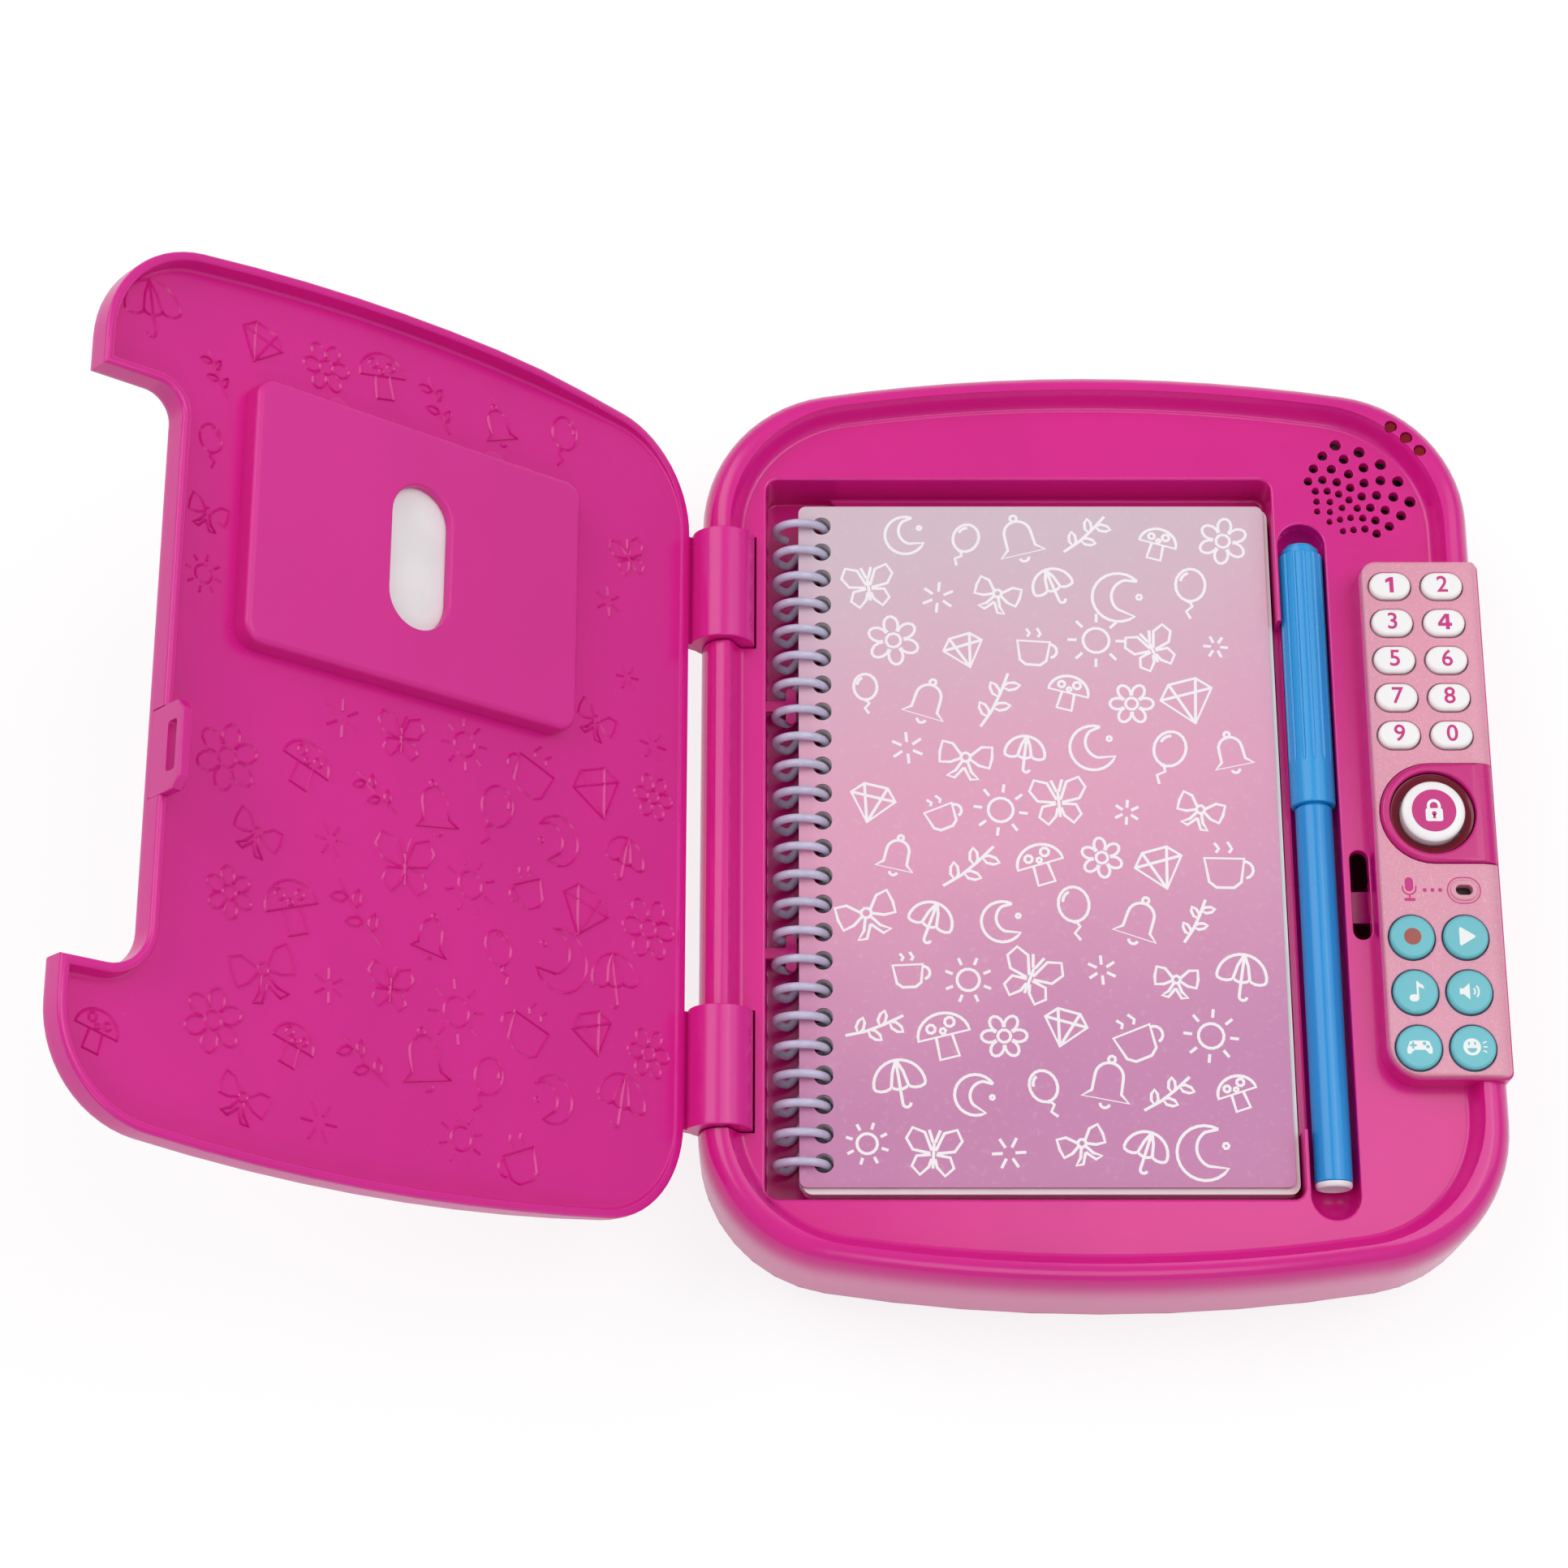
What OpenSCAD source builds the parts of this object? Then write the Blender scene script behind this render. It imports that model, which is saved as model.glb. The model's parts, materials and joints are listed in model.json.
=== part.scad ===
// Electronic secret diary: a hinged plastic case that holds a spiral notebook, a capped
// pen and a keypad lock. The lid is drawn open, as it stands on its stop.
// X runs from the hinge to the keypad, Y away from the reader, Z up.
// The origin is the centre of the underside.

/* [Case] */
// Width of the case, from the hinge rim to the keypad side
case_w = 162; // [156:1:196]
// Length of the case along the hinge
case_l = 198; // [196:1:238]
// Height of the case at the top of its rim
case_h = 35; // [34:0.5:42]
// Radius of the four corners
corner_r = 30; // [26:1:34]
// Radius of the gently bowed front and back edges
bow_r = 360; // [300:10:600]
// Width of the raised rim
rim_w = 9; // [8:0.5:10]
// Height of the rim above the deck
rim_h = 5; // [4:0.5:6]
// Wall thickness of both shells
wall = 2.2; // [1.8:0.1:2.6]
// Height of the lower shell's side wall
pan_h = 8; // [6:0.5:10]
// How far the lower shell tapers in towards the underside
pan_taper = 3; // [1:0.5:5]

/* [Hinge and lid] */
// Radius of the hinge knuckles
knuckle_r = 6.6; // [5.6:0.1:7.2]
// Length of each hinge knuckle
knuckle_l = 26.5; // [20:0.5:32]
// Distance between the middles of the two knuckles
knuckle_span = 103; // [90:1:110]
// Diameter of the hinge pins
pin_d = 3; // [2:0.5:4]
// Angle at which the open lid stands on its stop
lid_open = 138.7; // [110:0.1:140]
// Gap between the closed lid and the rim around it
lid_gap = 0.6; // [0.4:0.1:1.5]
// Depth of the lid's border wall, from the inner face
lid_wall_h = 4.1; // [3:0.1:4.5]
// Thickness of the lid's border wall
lid_border = 2.2; // [1.8:0.1:3]
// Thickness of the lid's plate
lid_plate = 2.7; // [2:0.1:3]
// Radius of the lid's outer corners
lid_r = 21; // [16:1:24]
// Shift of the lid and the tray towards the reader
content_y = -3; // [-4:0.5:0]

/* [Notebook] */
// Width of the notebook's covers
cover_w = 98.8; // [82:0.2:99]
// Length of the notebook's covers
cover_l = 147.5; // [130:0.5:149]
// Thickness of all sheets with both covers
stack_h = 7; // [5.6:0.1:8]
// Pitch of the coil and of the punched holes
coil_pitch = 6; // [5.5:0.1:6.2]
// Number of punched holes
coil_holes = 24; // [18:1:24]
// Radius of the coil, to the middle of its wire
coil_r = 5.3; // [5:0.1:5.6]
// Diameter of the coil's wire
wire_d = 1.8; // [1.2:0.1:2]

/* [Pen] */
// Diameter of the pen's cap
cap_d = 9.2; // [8:0.1:9.8]
// Diameter of the pen's barrel
barrel_d = 7.6; // [6.6:0.1:8]
// Length of the capped pen
pen_l = 138.1; // [120:0.1:140]
// Length of the cap
cap_l = 58; // [48:1:62]

/* [Keypad] */
// Width of the keypad block
pad_w = 25.1; // [24.5:0.1:26]
// Length of the keypad block
pad_l = 111; // [110:1:114]
// Height of the keypad's cover plate above the deck
pad_h = 8; // [7.5:0.5:9.6]
// Thickness of the keypad's cover plate
bezel_t = 2; // [1.6:0.1:2.4]
// Spacing of the number keys across the pad
key_px = 10.75; // [10.5:0.05:11]
// Spacing of the number keys along the pad
key_py = 8.22; // [8:0.02:8.4]
// Width of a number key
key_w = 8.5; // [7:0.1:8.8]
// Length of a number key
key_l = 5.8; // [4.8:0.1:6.2]
// Diameter of the round function buttons
fn_d = 9; // [7.5:0.1:9.2]
// Spacing of the function buttons along the pad
fn_py = 11.4; // [11:0.1:11.8]
// Travel of every key and button
press = 0.9; // [0.5:0.1:1.1]
// Diameter of the unlock button
unlock_d = 12.9; // [10.7:0.1:13.2]
// Outer diameter of the raised surround of the unlock button
surround_d = 21.2; // [20.6:0.1:21.6]

/* [Latch] */
// Width of the latch slot in the deck
slot_w = 3.8; // [3.2:0.1:4]
// Length of the latch slot
slot_l = 19; // [18.5:0.5:21]
// Thickness of the lid's latch tab
tab_t = 2.2; // [1.8:0.1:2.6]
// Width of the lid's latch tab
tab_w = 17; // [14:0.5:17]
// How far the latch tab reaches below the deck
tab_drop = 6; // [5.5:0.5:6.5]
// Width of the latch bolt
bolt_w = 8.8; // [7:0.1:9.4]
// Thickness of the latch bolt
bolt_t = 2.2; // [1.8:0.1:2.4]
// Travel of the latch bolt
bolt_travel = 3.8; // [3.4:0.1:4]

/* [Speaker and batteries] */
// Diameter of the loudspeaker
speaker_d = 26; // [22:1:27]
// Diameter of a battery cell
cell_d = 10.5; // [10:0.5:11]
// Length of a battery cell
cell_l = 44.5; // [42:0.5:45]

/* [Fits] */
// Running clearance of pins and sliding pieces, on the radius
run_gap = 0.1; // [0.06:0.01:0.15]
// Gap around keys, buttons and loose pieces
loose_gap = 0.3; // [0.2:0.05:0.4]

/* [Hidden] */
$fn = 64;
eps = 0.01;
half_w = case_w / 2;
half_l = case_l / 2;
deck_z = case_h - rim_h;
hinge_x = -half_w + rim_w / 2;
hinge_z = deck_z + 0.5;
knuckle_ys = [content_y - 0.75 + knuckle_span / 2, content_y - 0.75 - knuckle_span / 2];
pocket_r = knuckle_r + run_gap + 0.35;
pocket_l = knuckle_l + 2 * loose_gap;
pin_r = pin_d / 2;
pin_l = knuckle_l + 10;

// Keypad block and lid, the lid in its closed place
pad_x0 = half_w - pad_w;
pad_y0 = content_y - 54.5;
pad_y1 = pad_y0 + pad_l;
pad_r_near = 7;
pad_r_far = 3.5;
pad_gap = 0.7;
lid_rim_z = deck_z + 0.25;
lid_face_z = lid_rim_z + lid_wall_h;
lid_top_z = lid_face_z + lid_plate;
lid_x0 = hinge_x + knuckle_r + 1.9;
lid_x1 = half_w - rim_w - lid_gap - 1.2;
lid_hw = (lid_x1 - lid_x0) / 2;
lid_hl = half_l - rim_w - lid_gap - 2;
lid_cx = (lid_x0 + lid_x1) / 2;
lid_edge_x = pad_x0 - pad_gap - 0.35;
web_t = 2.5;
stop_gap = 0.12;

// Tray, notebook and coil
stack_top = deck_z - 3;
stack_bot = stack_top - stack_h;
coil_z = stack_top - stack_h / 2;
wire_r = wire_d / 2;
coil_out = coil_r + wire_r;
tray_x0 = hinge_x + pocket_r + 2;
coil_x = tray_x0 + 1 + coil_out;
cover_x0 = coil_x - 0.4;
cover_x1 = cover_x0 + cover_w;
cover_y0 = content_y - 0.4 - cover_l / 2;
cover_y1 = cover_y0 + cover_l;
page_x0 = coil_x + 0.3;
page_x1 = cover_x1 + 0.9;
page_y0 = cover_y0 - 1.2;
page_y1 = cover_y1 - 0.4;
// the wire leans as it leaves the sheets, so the holes reach further in than its radius
wire_x = sqrt(pow(coil_r, 2) - pow(stack_h / 2, 2));
punch_in = wire_x - wire_r * coil_r / wire_x;
punch_r = (coil_out - punch_in) / 2 + loose_gap;
hole_x = coil_x + (coil_out + punch_in) / 2;
hole_y0 = content_y - 0.2 - (coil_holes - 1) * coil_pitch / 2;
tray_x1 = cover_x1 + 2.2;
tray_y0 = cover_y0 - 3;
tray_y1 = cover_y1 + 4.9;
tray_r = 2.5;
tray_floor = stack_bot - loose_gap;
channel_floor = coil_z - coil_out - loose_gap;
channel_x1 = coil_x + coil_out + 1.5;
tray_wall = 1.8;
board_t = 1.2;
cover_t = 0.8;
leaf_gap = 0.1;
pages_t = (stack_h - board_t - cover_t - 3 * leaf_gap) / 2;
hook_w = 8;
hook_stem = 2.4;
hook_t = 1.1;
hook_z = coil_z - 2.6;
hook_turns = [7, 16];
wire_a0 = -62;
wire_a1 = 236;
wire_steps = 11;
wire_shift = 3;

// Pen and its groove
slot_x = lid_edge_x - tab_t / 2;
slot_y = content_y - 14.2;
groove_r = cap_d / 2 + loose_gap;
groove_wall = 1.4;
pen_x = slot_x - slot_w / 2 - groove_wall - groove_r - 0.1;
pen_z = deck_z - 2.5;
pen_y0 = content_y - 74.7;
pen_y1 = pen_y0 + pen_l;
groove_y0 = pen_y0 - 0.5;
groove_y1 = pen_y1 + 1.8;
cap_y0 = pen_y1 - cap_l;
neck_r = cap_d / 2 - 1.25;
cap_bore_r = neck_r + run_gap + 0.05;
neck_l = 36;
bore_r = 2.3;
ink_r = bore_r - loose_gap;
plug_l = 7;

// Keypad
pad_top = deck_z + pad_h;
pad_in_z = pad_top - bezel_t;
pad_wall = 0.9;
pad_cx = pad_x0 + 11.5;
key_y = pad_y1 - 6.2;
lock_x = pad_cx + 0.4;
lock_y = key_y - 4 * key_py - 16.8;
fn_y = lock_y - 26.3;
mic_x = pad_cx + 5.7;
mic_y = lock_y - 16.4;
key_top = pad_top + 1;
flange_t = 1.2;
flange_w = 0.7;
stem_h = 0.6;
flange_z = pad_in_z - loose_gap - flange_t;
pcb_t = 1.6;
mat_z = deck_z + pcb_t;
mat_t = flange_z - stem_h - press - 0.2 - mat_z;
surround_r = surround_d / 2;
surround_top = pad_top + 0.9;
well_r = surround_r - 1.85;
unlock_r = unlock_d / 2;
unlock_flange = unlock_r + 1.15;
unlock_top = pad_top + 1.8;
ring_z = pad_in_z - 1.1;

// Latch
tab_bot = deck_z - tab_drop;
eye_w = bolt_w + 0.9;
eye_z0 = tab_bot + 1.8;
eye_h = bolt_t + 0.8;
bolt_z = eye_z0 + 0.4;
bolt_x0 = slot_x + slot_w / 2 + 0.15;
bolt_l = 14;
arm_t = 2;
arm_x = bolt_x0 + bolt_l - arm_t;
guide_x0 = pad_x0 + pad_wall + 2 + loose_gap;
guide_x1 = arm_x - bolt_travel - 0.4;
guide_wall = 1.5;
guide_y0 = slot_y - bolt_w / 2 - run_gap - guide_wall;
guide_y1 = slot_y + bolt_w / 2 + run_gap + guide_wall;
solenoid_r = 4.6;
solenoid_y = guide_y1 + solenoid_r;
solenoid_z = deck_z - solenoid_r;
solenoid_x0 = arm_x + arm_t + 0.4;
solenoid_x1 = half_w - 4.2;
plunger_r = 1.4;

// Picture pocket inside the lid
pocket_x0 = cover_x1 - 76.5;
pocket_x1 = cover_x1 + 1;
pocket_y0 = content_y + 11.3;
pocket_y1 = pocket_y0 + 53.9;
pocket_h = 4.5;
card_z = lid_face_z - 2.2;
card_t = 0.8;
card_out = 18;

// Speaker, lights and microphone
grille_x = pad_cx - 8.5;
grille_y = half_l - 27.5;
speaker_x = grille_x + 3;
speaker_y = grille_y + 2.5;
grille_r = 12.5;
led_r = 1.1;
led_ring = corner_r - rim_w / 2 - 0.9;
led_cx = half_w - corner_r;
led_cy = sqrt(pow(bow_r - corner_r, 2) - pow(led_cx, 2)) - bow_r + half_l;
led_angles = [40, 49, 58];

// Battery bay and screws
cell_gap = 1.1;
bay_l = cell_l + 9;
bay_w = 3 * (cell_d + cell_gap) + cell_gap;
bay_x0 = -bay_w / 2 - 28;
bay_y0 = -bay_l / 2 + 8;
door_t = 2;
door_lip = 1.5;
tongue_l = 9;
bay_roof = door_t + cell_d + 1.2;
bay_cx = bay_x0 + bay_w / 2;
boss_r = 3.4;
screw_r = 1.2;
boss_y1 = (half_l - rim_w / 2 + tray_y1) / 2;
boss_y0 = (-half_l + rim_w / 2 + tray_y0) / 2;
screw_xy = [[hinge_x + 30, boss_y1], [pen_x - 24, boss_y1], [hinge_x + 30, boss_y0], [pen_x - 24, boss_y0]];

// Outlines

function reversed(list) = [for (i = [len(list) - 1:-1:0]) list[i]];

function mirrored(list, sx, sy) = [for (p = list) [p[0] * sx, p[1] * sy]];

// One quarter of a rounded outline: a corner arc, then a wide arc that bows the short edge
function quarter(hx, hy, r, rb, n = 8, m = 4) =
    let (cx = hx - r, d = rb - hy)
    let (cy = sqrt(pow(rb - r, 2) - cx * cx) - d, beta = asin(cx / (rb - r)))
    concat(
        [for (i = [0:n]) let (a = (90 - beta) * i / n) [cx + r * cos(a), cy + r * sin(a)]],
        [for (i = [1:m - 1]) let (b = beta * (1 - i / m)) [rb * sin(b), rb * cos(b) - d]]);

function outline(hx, hy, r, rb) =
    let (q = quarter(hx, hy, r, rb))
    concat(q, [[0, hy]], reversed(mirrored(q, -1, 1)),
        mirrored(q, -1, -1), [[0, -hy]], reversed(mirrored(q, 1, -1)));

module case_2d(inset = 0) {
    polygon(outline(half_w - inset, half_l - inset, corner_r - inset, bow_r - inset));
}

module case_slab(inset, z0, z1) {
    translate([0, 0, z0]) linear_extrude(z1 - z0) case_2d(inset);
}

module box(x0, y0, z0, x1, y1, z1) {
    translate([x0, y0, z0]) cube([x1 - x0, y1 - y0, z1 - z0]);
}

module rounded_2d(x0, y0, x1, y1, r) {
    translate([x0 + r, y0]) square([x1 - x0 - 2 * r, y1 - y0]);
    translate([x0, y0 + r]) square([x1 - x0, y1 - y0 - 2 * r]);
    for (x = [x0 + r, x1 - r]) for (y = [y0 + r, y1 - r]) translate([x, y]) circle(r);
}

module rounded_box(x0, y0, z0, x1, y1, z1, r) {
    translate([0, 0, z0]) linear_extrude(z1 - z0) rounded_2d(x0, y0, x1, y1, r);
}

module rod_y(x, y0, z, y1, r) {
    translate([x, y0, z]) rotate([-90, 0, 0]) cylinder(h = y1 - y0, r = r);
}

module rod_x(x0, y, z, x1, r) {
    translate([x0, y, z]) rotate([0, 90, 0]) cylinder(h = x1 - x0, r = r);
}

module disc(x, y, z0, z1, r) {
    translate([x, y, z0]) cylinder(h = z1 - z0, r = r);
}

// A stadium lying along X, given by its overall sizes
module stadium_2d(w, l) {
    square([w - l, l], center = true);
    for (s = [-1, 1]) translate([s * (w - l) / 2, 0]) circle(l / 2);
}

// A straight-edged band with two rounded corners on its left side
module tab_2d(x0, y0, x1, y1, r_near, r_far) {
    y_mid = (y0 + r_near + y1 - r_far) / 2;
    translate([x0, y0 + r_near]) square([x1 - x0, y1 - y0 - r_near - r_far]);
    translate([x0 + r_near, y0]) square([x1 - x0 - r_near, y_mid - y0]);
    translate([x0 + r_far, y_mid]) square([x1 - x0 - r_far, y1 - y_mid]);
    translate([x0 + r_near, y0 + r_near]) circle(r_near);
    translate([x0 + r_far, y1 - r_far]) circle(r_far);
}

// Keypad places and outlines

function key_at(n) = let (i = n == 0 ? 9 : n - 1)
    [pad_cx + (i % 2 - 0.5) * key_px, key_y - floor(i / 2) * key_py, 0];

function fn_at(i) = [pad_cx + (i % 2 - 0.5) * key_px, fn_y - floor(i / 2) * fn_py, 0];

// The keypad block's outline follows the edge of the case on the right
module pad_2d(inset = 0) {
    intersection() {
        case_2d(inset);
        tab_2d(pad_x0 + inset, pad_y0 + inset, half_w + 10, pad_y1 - inset,
            max(pad_r_near - inset, 1), max(pad_r_far - inset, 1));
    }
}

module pad_slab(inset, z0, z1) {
    translate([0, 0, z0]) linear_extrude(z1 - z0) pad_2d(inset);
}

// A disc that runs out to the right-hand edge of the case
module surround_slab(r, inset, z0, z1) {
    translate([0, 0, z0]) linear_extrude(z1 - z0) intersection() {
        case_2d(inset);
        union() {
            translate([lock_x, lock_y]) circle(r);
            translate([lock_x, lock_y - r]) square([half_w, 2 * r]);
        }
    }
}

// Case

module tray_hollow() {
    rounded_box(tray_x0, tray_y0, tray_floor, tray_x1, tray_y1, case_h, tray_r);
    rounded_box(tray_x0, tray_y0, channel_floor, channel_x1, tray_y1, case_h, tray_r - 0.2);
}

module groove_hollow() {
    rod_y(pen_x, groove_y0, pen_z, groove_y1, groove_r);
    rounded_box(pen_x - groove_r, groove_y0 - 0.2, pen_z, pen_x + groove_r, groove_y1 + 0.2,
        case_h, groove_r - 1.5);
}

module hinge_pockets(r, extra) {
    for (y = knuckle_ys)
        rod_y(hinge_x, y - pocket_l / 2 - extra, hinge_z, y + pocket_l / 2 + extra, r);
}

// Rings of round holes that grow outwards
module grille_holes() {
    for (ring = [0:3])
        let (count = ring == 0 ? 1 : 7 * ring, radius = ring * grille_r / 3.1)
            for (i = [0:count - 1])
                rotate(360 * i / count + 13 * ring)
                    translate([radius, 0, deck_z - wall - 1])
                        cylinder(h = wall + 2, r = 0.7 + 0.15 * ring);
}

// A tongue that hooks into the coil: a stem between two turns and a wide head inside them
module coil_hooks() {
    for (k = hook_turns) {
        y = hole_y0 + (k + 0.5) * coil_pitch;
        box(tray_x0 - 1, y - hook_stem / 2, hook_z, coil_x - 1.9, y + hook_stem / 2,
            hook_z + hook_t);
        rounded_box(coil_x - 3.1, y - hook_w / 2, hook_z, coil_x - 0.8, y + hook_w / 2,
            hook_z + hook_t, 1.1);
    }
}

// A wedge outside each pocket, which stops the lid's web when the lid stands open
module lid_stops() {
    for (y = knuckle_ys)
        translate([hinge_x, y - knuckle_l / 2 + 3, hinge_z])
            rotate([0, -lid_open, 0])
                box(-2.5, 0, knuckle_r + stop_gap, 3, knuckle_l - 6, knuckle_r + 2.8);
}

module base_top_shell() {
    color([0.84, 0.22, 0.56]) {
        difference() {
            union() {
                case_slab(0, pan_h, case_h - 1.6);
                hull() {
                    case_slab(0, case_h - 1.6, case_h - 1.59);
                    case_slab(1.5, case_h - eps, case_h);
                }
                lid_stops();
            }
            hull() {
                case_slab(rim_w, deck_z, deck_z + eps);
                case_slab(rim_w - 1.6, case_h, case_h + eps);
            }
            case_slab(wall, pan_h - 1, deck_z - wall);
            hinge_pockets(pocket_r, 0);
            for (y = knuckle_ys)
                rod_y(hinge_x, y - pin_l / 2, hinge_z, y + pin_l / 2, pin_r);
            tray_hollow();
            groove_hollow();
            pad_slab(pad_wall, deck_z, case_h + 1);
            deck_openings();
        }
        difference() {
            union() {
                tray_walls();
                intersection() {
                    case_slab(1, pan_h, deck_z - wall + eps);
                    hinge_pockets(pocket_r + 1.8, 1.8);
                }
            }
            tray_hollow();
            groove_hollow();
            hinge_pockets(pocket_r, 0);
            deck_openings();
        }
        difference() {
            pad_slab(0, deck_z - wall, pad_in_z);
            pad_slab(pad_wall, deck_z, pad_top);
            pad_slab(pad_wall + 2, deck_z - wall - 1, deck_z + 1);
            deck_openings();
        }
        for (p = screw_xy) difference() {
            disc(p[0], p[1], pan_h, deck_z - wall + eps, boss_r);
            disc(p[0], p[1], pan_h - 1, pan_h + 10, screw_r);
        }
        coil_hooks();
        // step under the latch slot
        box(pen_x + groove_r - 1.2, slot_y - 0.3, tab_bot - 2.5, pad_x0 + 1.9, slot_y + 6.6, tab_bot - 0.4);
    }
}

module tray_walls() {
    z = deck_z - wall + eps;
    rounded_box(tray_x0 - tray_wall, tray_y0 - tray_wall, tray_floor - wall,
        tray_x1 + 1, tray_y1 + tray_wall, z, tray_r + tray_wall);
    rounded_box(tray_x0 - tray_wall, tray_y0 - tray_wall, channel_floor - wall,
        channel_x1 + wall, tray_y1 + tray_wall, z, tray_r + tray_wall - 0.2);
    rod_y(pen_x, groove_y0 - 2, pen_z, groove_y1 + 2, groove_r + groove_wall);
}

module deck_openings() {
    translate([grille_x, grille_y, 0]) grille_holes();
    for (a = led_angles)
        disc(led_cx + led_ring * cos(a), led_cy + led_ring * sin(a), deck_z - wall - 1,
            case_h + 1, led_r + run_gap);
    translate([slot_x, slot_y, deck_z - wall - 1]) linear_extrude(wall + rim_h + 2)
        rotate(90) stadium_2d(slot_l, slot_w);
    pad_slab(pad_wall + 2, deck_z - wall - 1, deck_z + eps);
    box(slot_x, slot_y - bolt_w / 2 - loose_gap, bolt_z - loose_gap,
        guide_x0 + 3, slot_y + bolt_w / 2 + loose_gap, bolt_z + bolt_t + loose_gap);
}

module base_bottom_shell() {
    color([0.66, 0.42, 0.56]) difference() {
        union() {
            difference() {
                hull() {
                    case_slab(pan_taper, 0, eps);
                    case_slab(0, pan_h - eps, pan_h);
                }
                hull() {
                    case_slab(pan_taper + wall, wall, wall + eps);
                    case_slab(wall, pan_h, pan_h + eps);
                }
            }
            // lip that centres the upper shell
            difference() {
                case_slab(wall + run_gap, pan_h - 1.5, pan_h + 2);
                case_slab(wall + run_gap + 1.3, pan_h - 2, pan_h + 3);
            }
            // walls and roof of the battery bay
            box(bay_x0 - 3, bay_y0 - 3, 0.5, bay_x0 + bay_w + 3, bay_y0 + bay_l + 3, bay_roof + 1.5);
            box(bay_cx - 9, bay_y0 - tongue_l - 3, 0.5, bay_cx + 9, bay_y0, 9);
            for (p = screw_xy) disc(p[0], p[1], 1, pan_h, boss_r + 1.6);
        }
        box(bay_x0, bay_y0, door_t, bay_x0 + bay_w, bay_y0 + bay_l, bay_roof);
        box(bay_x0 - door_lip, bay_y0 - door_lip, -1, bay_x0 + bay_w + door_lip,
            bay_y0 + bay_l + door_lip, door_t + eps);
        box(bay_cx - 7, bay_y0 - tongue_l, -1, bay_cx + 7, bay_y0, door_t + eps);
        disc(bay_cx, bay_y0 - 5, 1, 8, screw_r);
        for (p = screw_xy) {
            disc(p[0], p[1], -1, pan_h + 1, screw_r + run_gap);
            disc(p[0], p[1], -1, 2.6, 2.9);
        }
    }
}

module battery_door() {
    g = loose_gap;
    color([0.66, 0.42, 0.56]) difference() {
        union() {
            box(bay_x0 - door_lip + g, bay_y0 - door_lip + g, 0, bay_x0 + bay_w + door_lip - g,
                bay_y0 + bay_l + door_lip - g, door_t - run_gap);
            box(bay_cx - 7 + g, bay_y0 - tongue_l + g, 0, bay_cx + 7 - g, bay_y0, door_t - run_gap);
        }
        disc(bay_cx, bay_y0 - 5, -1, door_t, screw_r + run_gap);
        disc(bay_cx, bay_y0 - 5, -1, 0.9, 2.5);
        // grip ridges sunk into the outside
        for (i = [0:4]) box(bay_cx - 8, bay_y0 + bay_l - 6 - 2 * i, -1, bay_cx + 8,
            bay_y0 + bay_l - 5 - 2 * i, 0.5);
    }
}

module battery_door_screw() {
    color([0.7, 0.7, 0.72]) difference() {
        union() {
            disc(bay_cx, bay_y0 - 5, 0.1, 0.8, 2.3);
            disc(bay_cx, bay_y0 - 5, 0.7, 7.5, screw_r - run_gap);
        }
        for (a = [0, 90]) translate([bay_cx, bay_y0 - 5, 0]) rotate(a)
            box(-1.4, -0.25, -0.5, 1.4, 0.25, 0.45);
    }
}

module battery_cells() {
    color([0.25, 0.3, 0.35]) for (i = [0:2]) {
        x = bay_x0 + cell_gap + cell_d / 2 + i * (cell_d + cell_gap);
        z = door_t + 0.35 + cell_d / 2;
        flip = i % 2;
        y0 = bay_y0 + (bay_l - cell_l) / 2;
        rod_y(x, y0 + (flip == 0 ? 0 : 1), z, y0 + cell_l - (flip == 0 ? 1 : 0), cell_d / 2);
        rod_y(x, flip == 0 ? y0 + cell_l - 1 - eps : y0, z, flip == 0 ? y0 + cell_l : y0 + 1 + eps,
            1.9);
    }
}

module battery_contacts() {
    color([0.75, 0.76, 0.78]) for (i = [0:2]) for (s = [0, 1]) {
        x = bay_x0 + cell_gap + cell_d / 2 + i * (cell_d + cell_gap);
        z = door_t + 0.35 + cell_d / 2;
        wall_y = s == 0 ? bay_y0 : bay_y0 + bay_l - 0.4;
        box(x - 4, wall_y, z - 4, x + 4, wall_y + 0.4, z + 4);
        reach = (bay_l - cell_l) / 2 - 0.4 - 0.2;
        y0 = s == 0 ? wall_y + 0.4 - eps : wall_y - reach;
        rod_y(x, y0, z, y0 + reach + eps, 1.6);
    }
}

module case_screws() {
    color([0.7, 0.7, 0.72]) for (p = screw_xy) difference() {
        union() {
            disc(p[0], p[1], 1.2, 2.6, 2.6);
            disc(p[0], p[1], 2.5, pan_h + 9, screw_r - run_gap);
        }
        for (a = [0, 90]) translate([p[0], p[1], 0]) rotate(a) box(-1.5, -0.3, 0, 1.5, 0.3, 1.8);
    }
}

module hinge_pins() {
    color([0.75, 0.76, 0.78]) for (y = knuckle_ys)
        rod_y(hinge_x, y - pin_l / 2, hinge_z, y + pin_l / 2, pin_r);
}

// Keypad

module keypad_bezel() {
    color([0.87, 0.6, 0.68]) difference() {
        pad_slab(0.4, pad_in_z, pad_top);
        for (n = [0:9]) translate(key_at(n) + [0, 0, pad_in_z - 1]) linear_extrude(bezel_t + 2)
            stadium_2d(key_w + 2 * loose_gap, key_l + 2 * loose_gap);
        for (i = [0:5]) translate(fn_at(i) + [0, 0, pad_in_z - 1])
            cylinder(h = bezel_t + 2, r = fn_d / 2 + loose_gap);
        disc(mic_x, mic_y, pad_in_z - 1, pad_top + 1, 2.6);
        surround_slab(surround_r + 0.2, -1, pad_in_z - 1, pad_top + 1);
    }
}

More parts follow.
